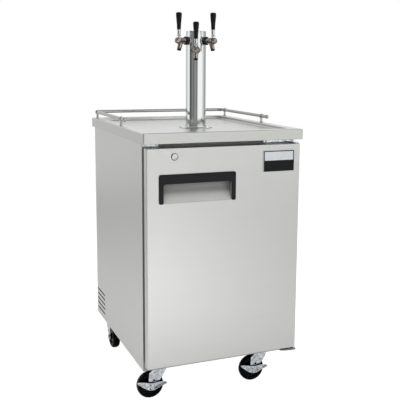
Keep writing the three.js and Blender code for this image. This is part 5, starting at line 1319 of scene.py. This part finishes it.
# %% Compressor
dome = curve((68, 148), (68, 170), (48, 180), (0, 185), 12)
bowl = curve((0, 15.5), (44, 15.5), (68, 22), (68, 40), 10)
weld = [(68, 94), (72, 95), (73, 96), (73, 99), (72, 100), (68.6, 101), (68, 104)]
pot = turned([*bowl, *weld, *dome], 72)
pan_top, shroud_top = 134.3, 360.3
compressor_way = move(120, 262.5, pan_top)
add_shape(pot, plate((-98, -75, 14), (98, 75, 17), 2, 18))
terminal_box = box((60, -25, 103), (94, 25, 158))
round_off(terminal_box, terminal_box.edges[:], 4, 4)
add_shape(pot, terminal_box)
for y in (-25, 25):
    add_shape(pot, rod((0, y, 128), (-102, y, 128), 4, steps=24, tip=0.5))
pot = placed(pot, compressor_way)
settle(pot, "compressor_shell", "cabinet", ["compressor"], black_enamel, edge=0.5)
feet = bmesh.new()
grommet = turned([
    (0, 0), (11, 0), (12, 1), (12, 5), (9.5, 6), (9.5, 9), (12, 10), (12, 13.9), (10, 13.9), (10, 20),
    (0, 20),
], 32)
for x in (-80, 80):
    for y in (-57, 57):
        add_shape(feet, grommet, compressor_way @ move(x, y, 0), keep=True)
settle(feet, "compressor_feet", "cabinet", ["compressor"], seal_rubber)

# %% [markdown]
# The condenser is a stack of thin aluminium fins on three tubes. Its shroud is a sheet
# with a drawn ring round the fan, and four straps hold the motor in the middle.

# %% Condenser
fin_count, fin_pitch, fin_gauge, first_fin, tube_count = 56, 3.2, 0.4, 174.3, 3
bm = bmesh.new()
for fin in range(fin_count):
    y = first_fin + fin * fin_pitch
    box((-262, y, pan_top + 0.2), (-222, y + fin_gauge, shroud_top), bm)
for row in range(tube_count):
    z = pan_top + (shroud_top - pan_top) / tube_count * (row + 0.5)
    add_shape(bm, rod((-242, 167.2, z), (-242, 357.8, z), 4, steps=24))
settle(bm, "condenser_fins", "cabinet", ["condenser"], aluminium)

# %% Shroud and motor
bm = plate((-221.7, 174, pan_top), (-219.7, 351, shroud_top), 0, 3)
carve(bm, rod(warm_fan + Vector((-230, 0, 0)), warm_fan + Vector((-190, 0, 0)), 73.4, steps=96))
lip_ring = turned([(73, 0), (76.5, 0), (75, 2), (75, 21), (74.4, 22), (73, 22), (73, 0)], 96)
add_shape(bm, lip_ring, Matrix.Translation(warm_fan + Vector((-221.7, 0, 0))) @ along_x)
for arm in range(4):
    strap = box((-185.6, 6, -4), (-182, 76.5, 4))
    box((-219.7, 73.4, -3.9), (-182.3, 76.3, 3.9), strap)
    add_shape(bm, strap, Matrix.Translation(warm_fan) @ rotate(45 + 90 * arm, "X"))
motor = turned([
    (0, 0.2), (3.3, 0.2), (3.3, 12), (8, 12), (8, 3), (21, 3), (22, 4), (22, 30), (21, 31), (12, 31),
    (12, 34), (0, 34),
])
add_shape(bm, motor, Matrix.Translation(warm_fan + Vector((-194.7, 0, 0))) @ along_x)
settle(bm, "fan_shroud", "cabinet", ["condenser_shroud"], black_enamel, edge=0.4)

# %% [markdown]
# The power inlet at the back is a moulded flange with a socket. Three flat pins stand in
# it, and two screws hold it.

# %% Power inlet
bm = plate((189, 365.3, 153), (239, 368.3, 179), 1, 3)
add_shape(bm, plate((199, 344.3, 155), (229, 368, 177), 1, 2))
carve(bm, plate((202, 352.3, 158), (226, 380, 174), 1, 3))
for x, z in ((207, 164.5), (214, 167.5), (221, 164.5)):
    add_shape(bm, plate((x - 1, 350.8, z - 2), (x + 1, 364.3, z + 2), 1, 0.6, 3))
inlet_screw = cross_screw(2.6, 1.2)
for x in (194, 234):
    add_shape(bm, inlet_screw, move(x, 367.6, 166) @ to_back, keep=True)
settle(bm, "mains_inlet", "cabinet", ["power_inlet"], black_abs, edge=0.4)

# %% [markdown]
# Last comes the plain colour view.

# %% Finish
bpy.context.scene.view_settings.view_transform = "Standard"
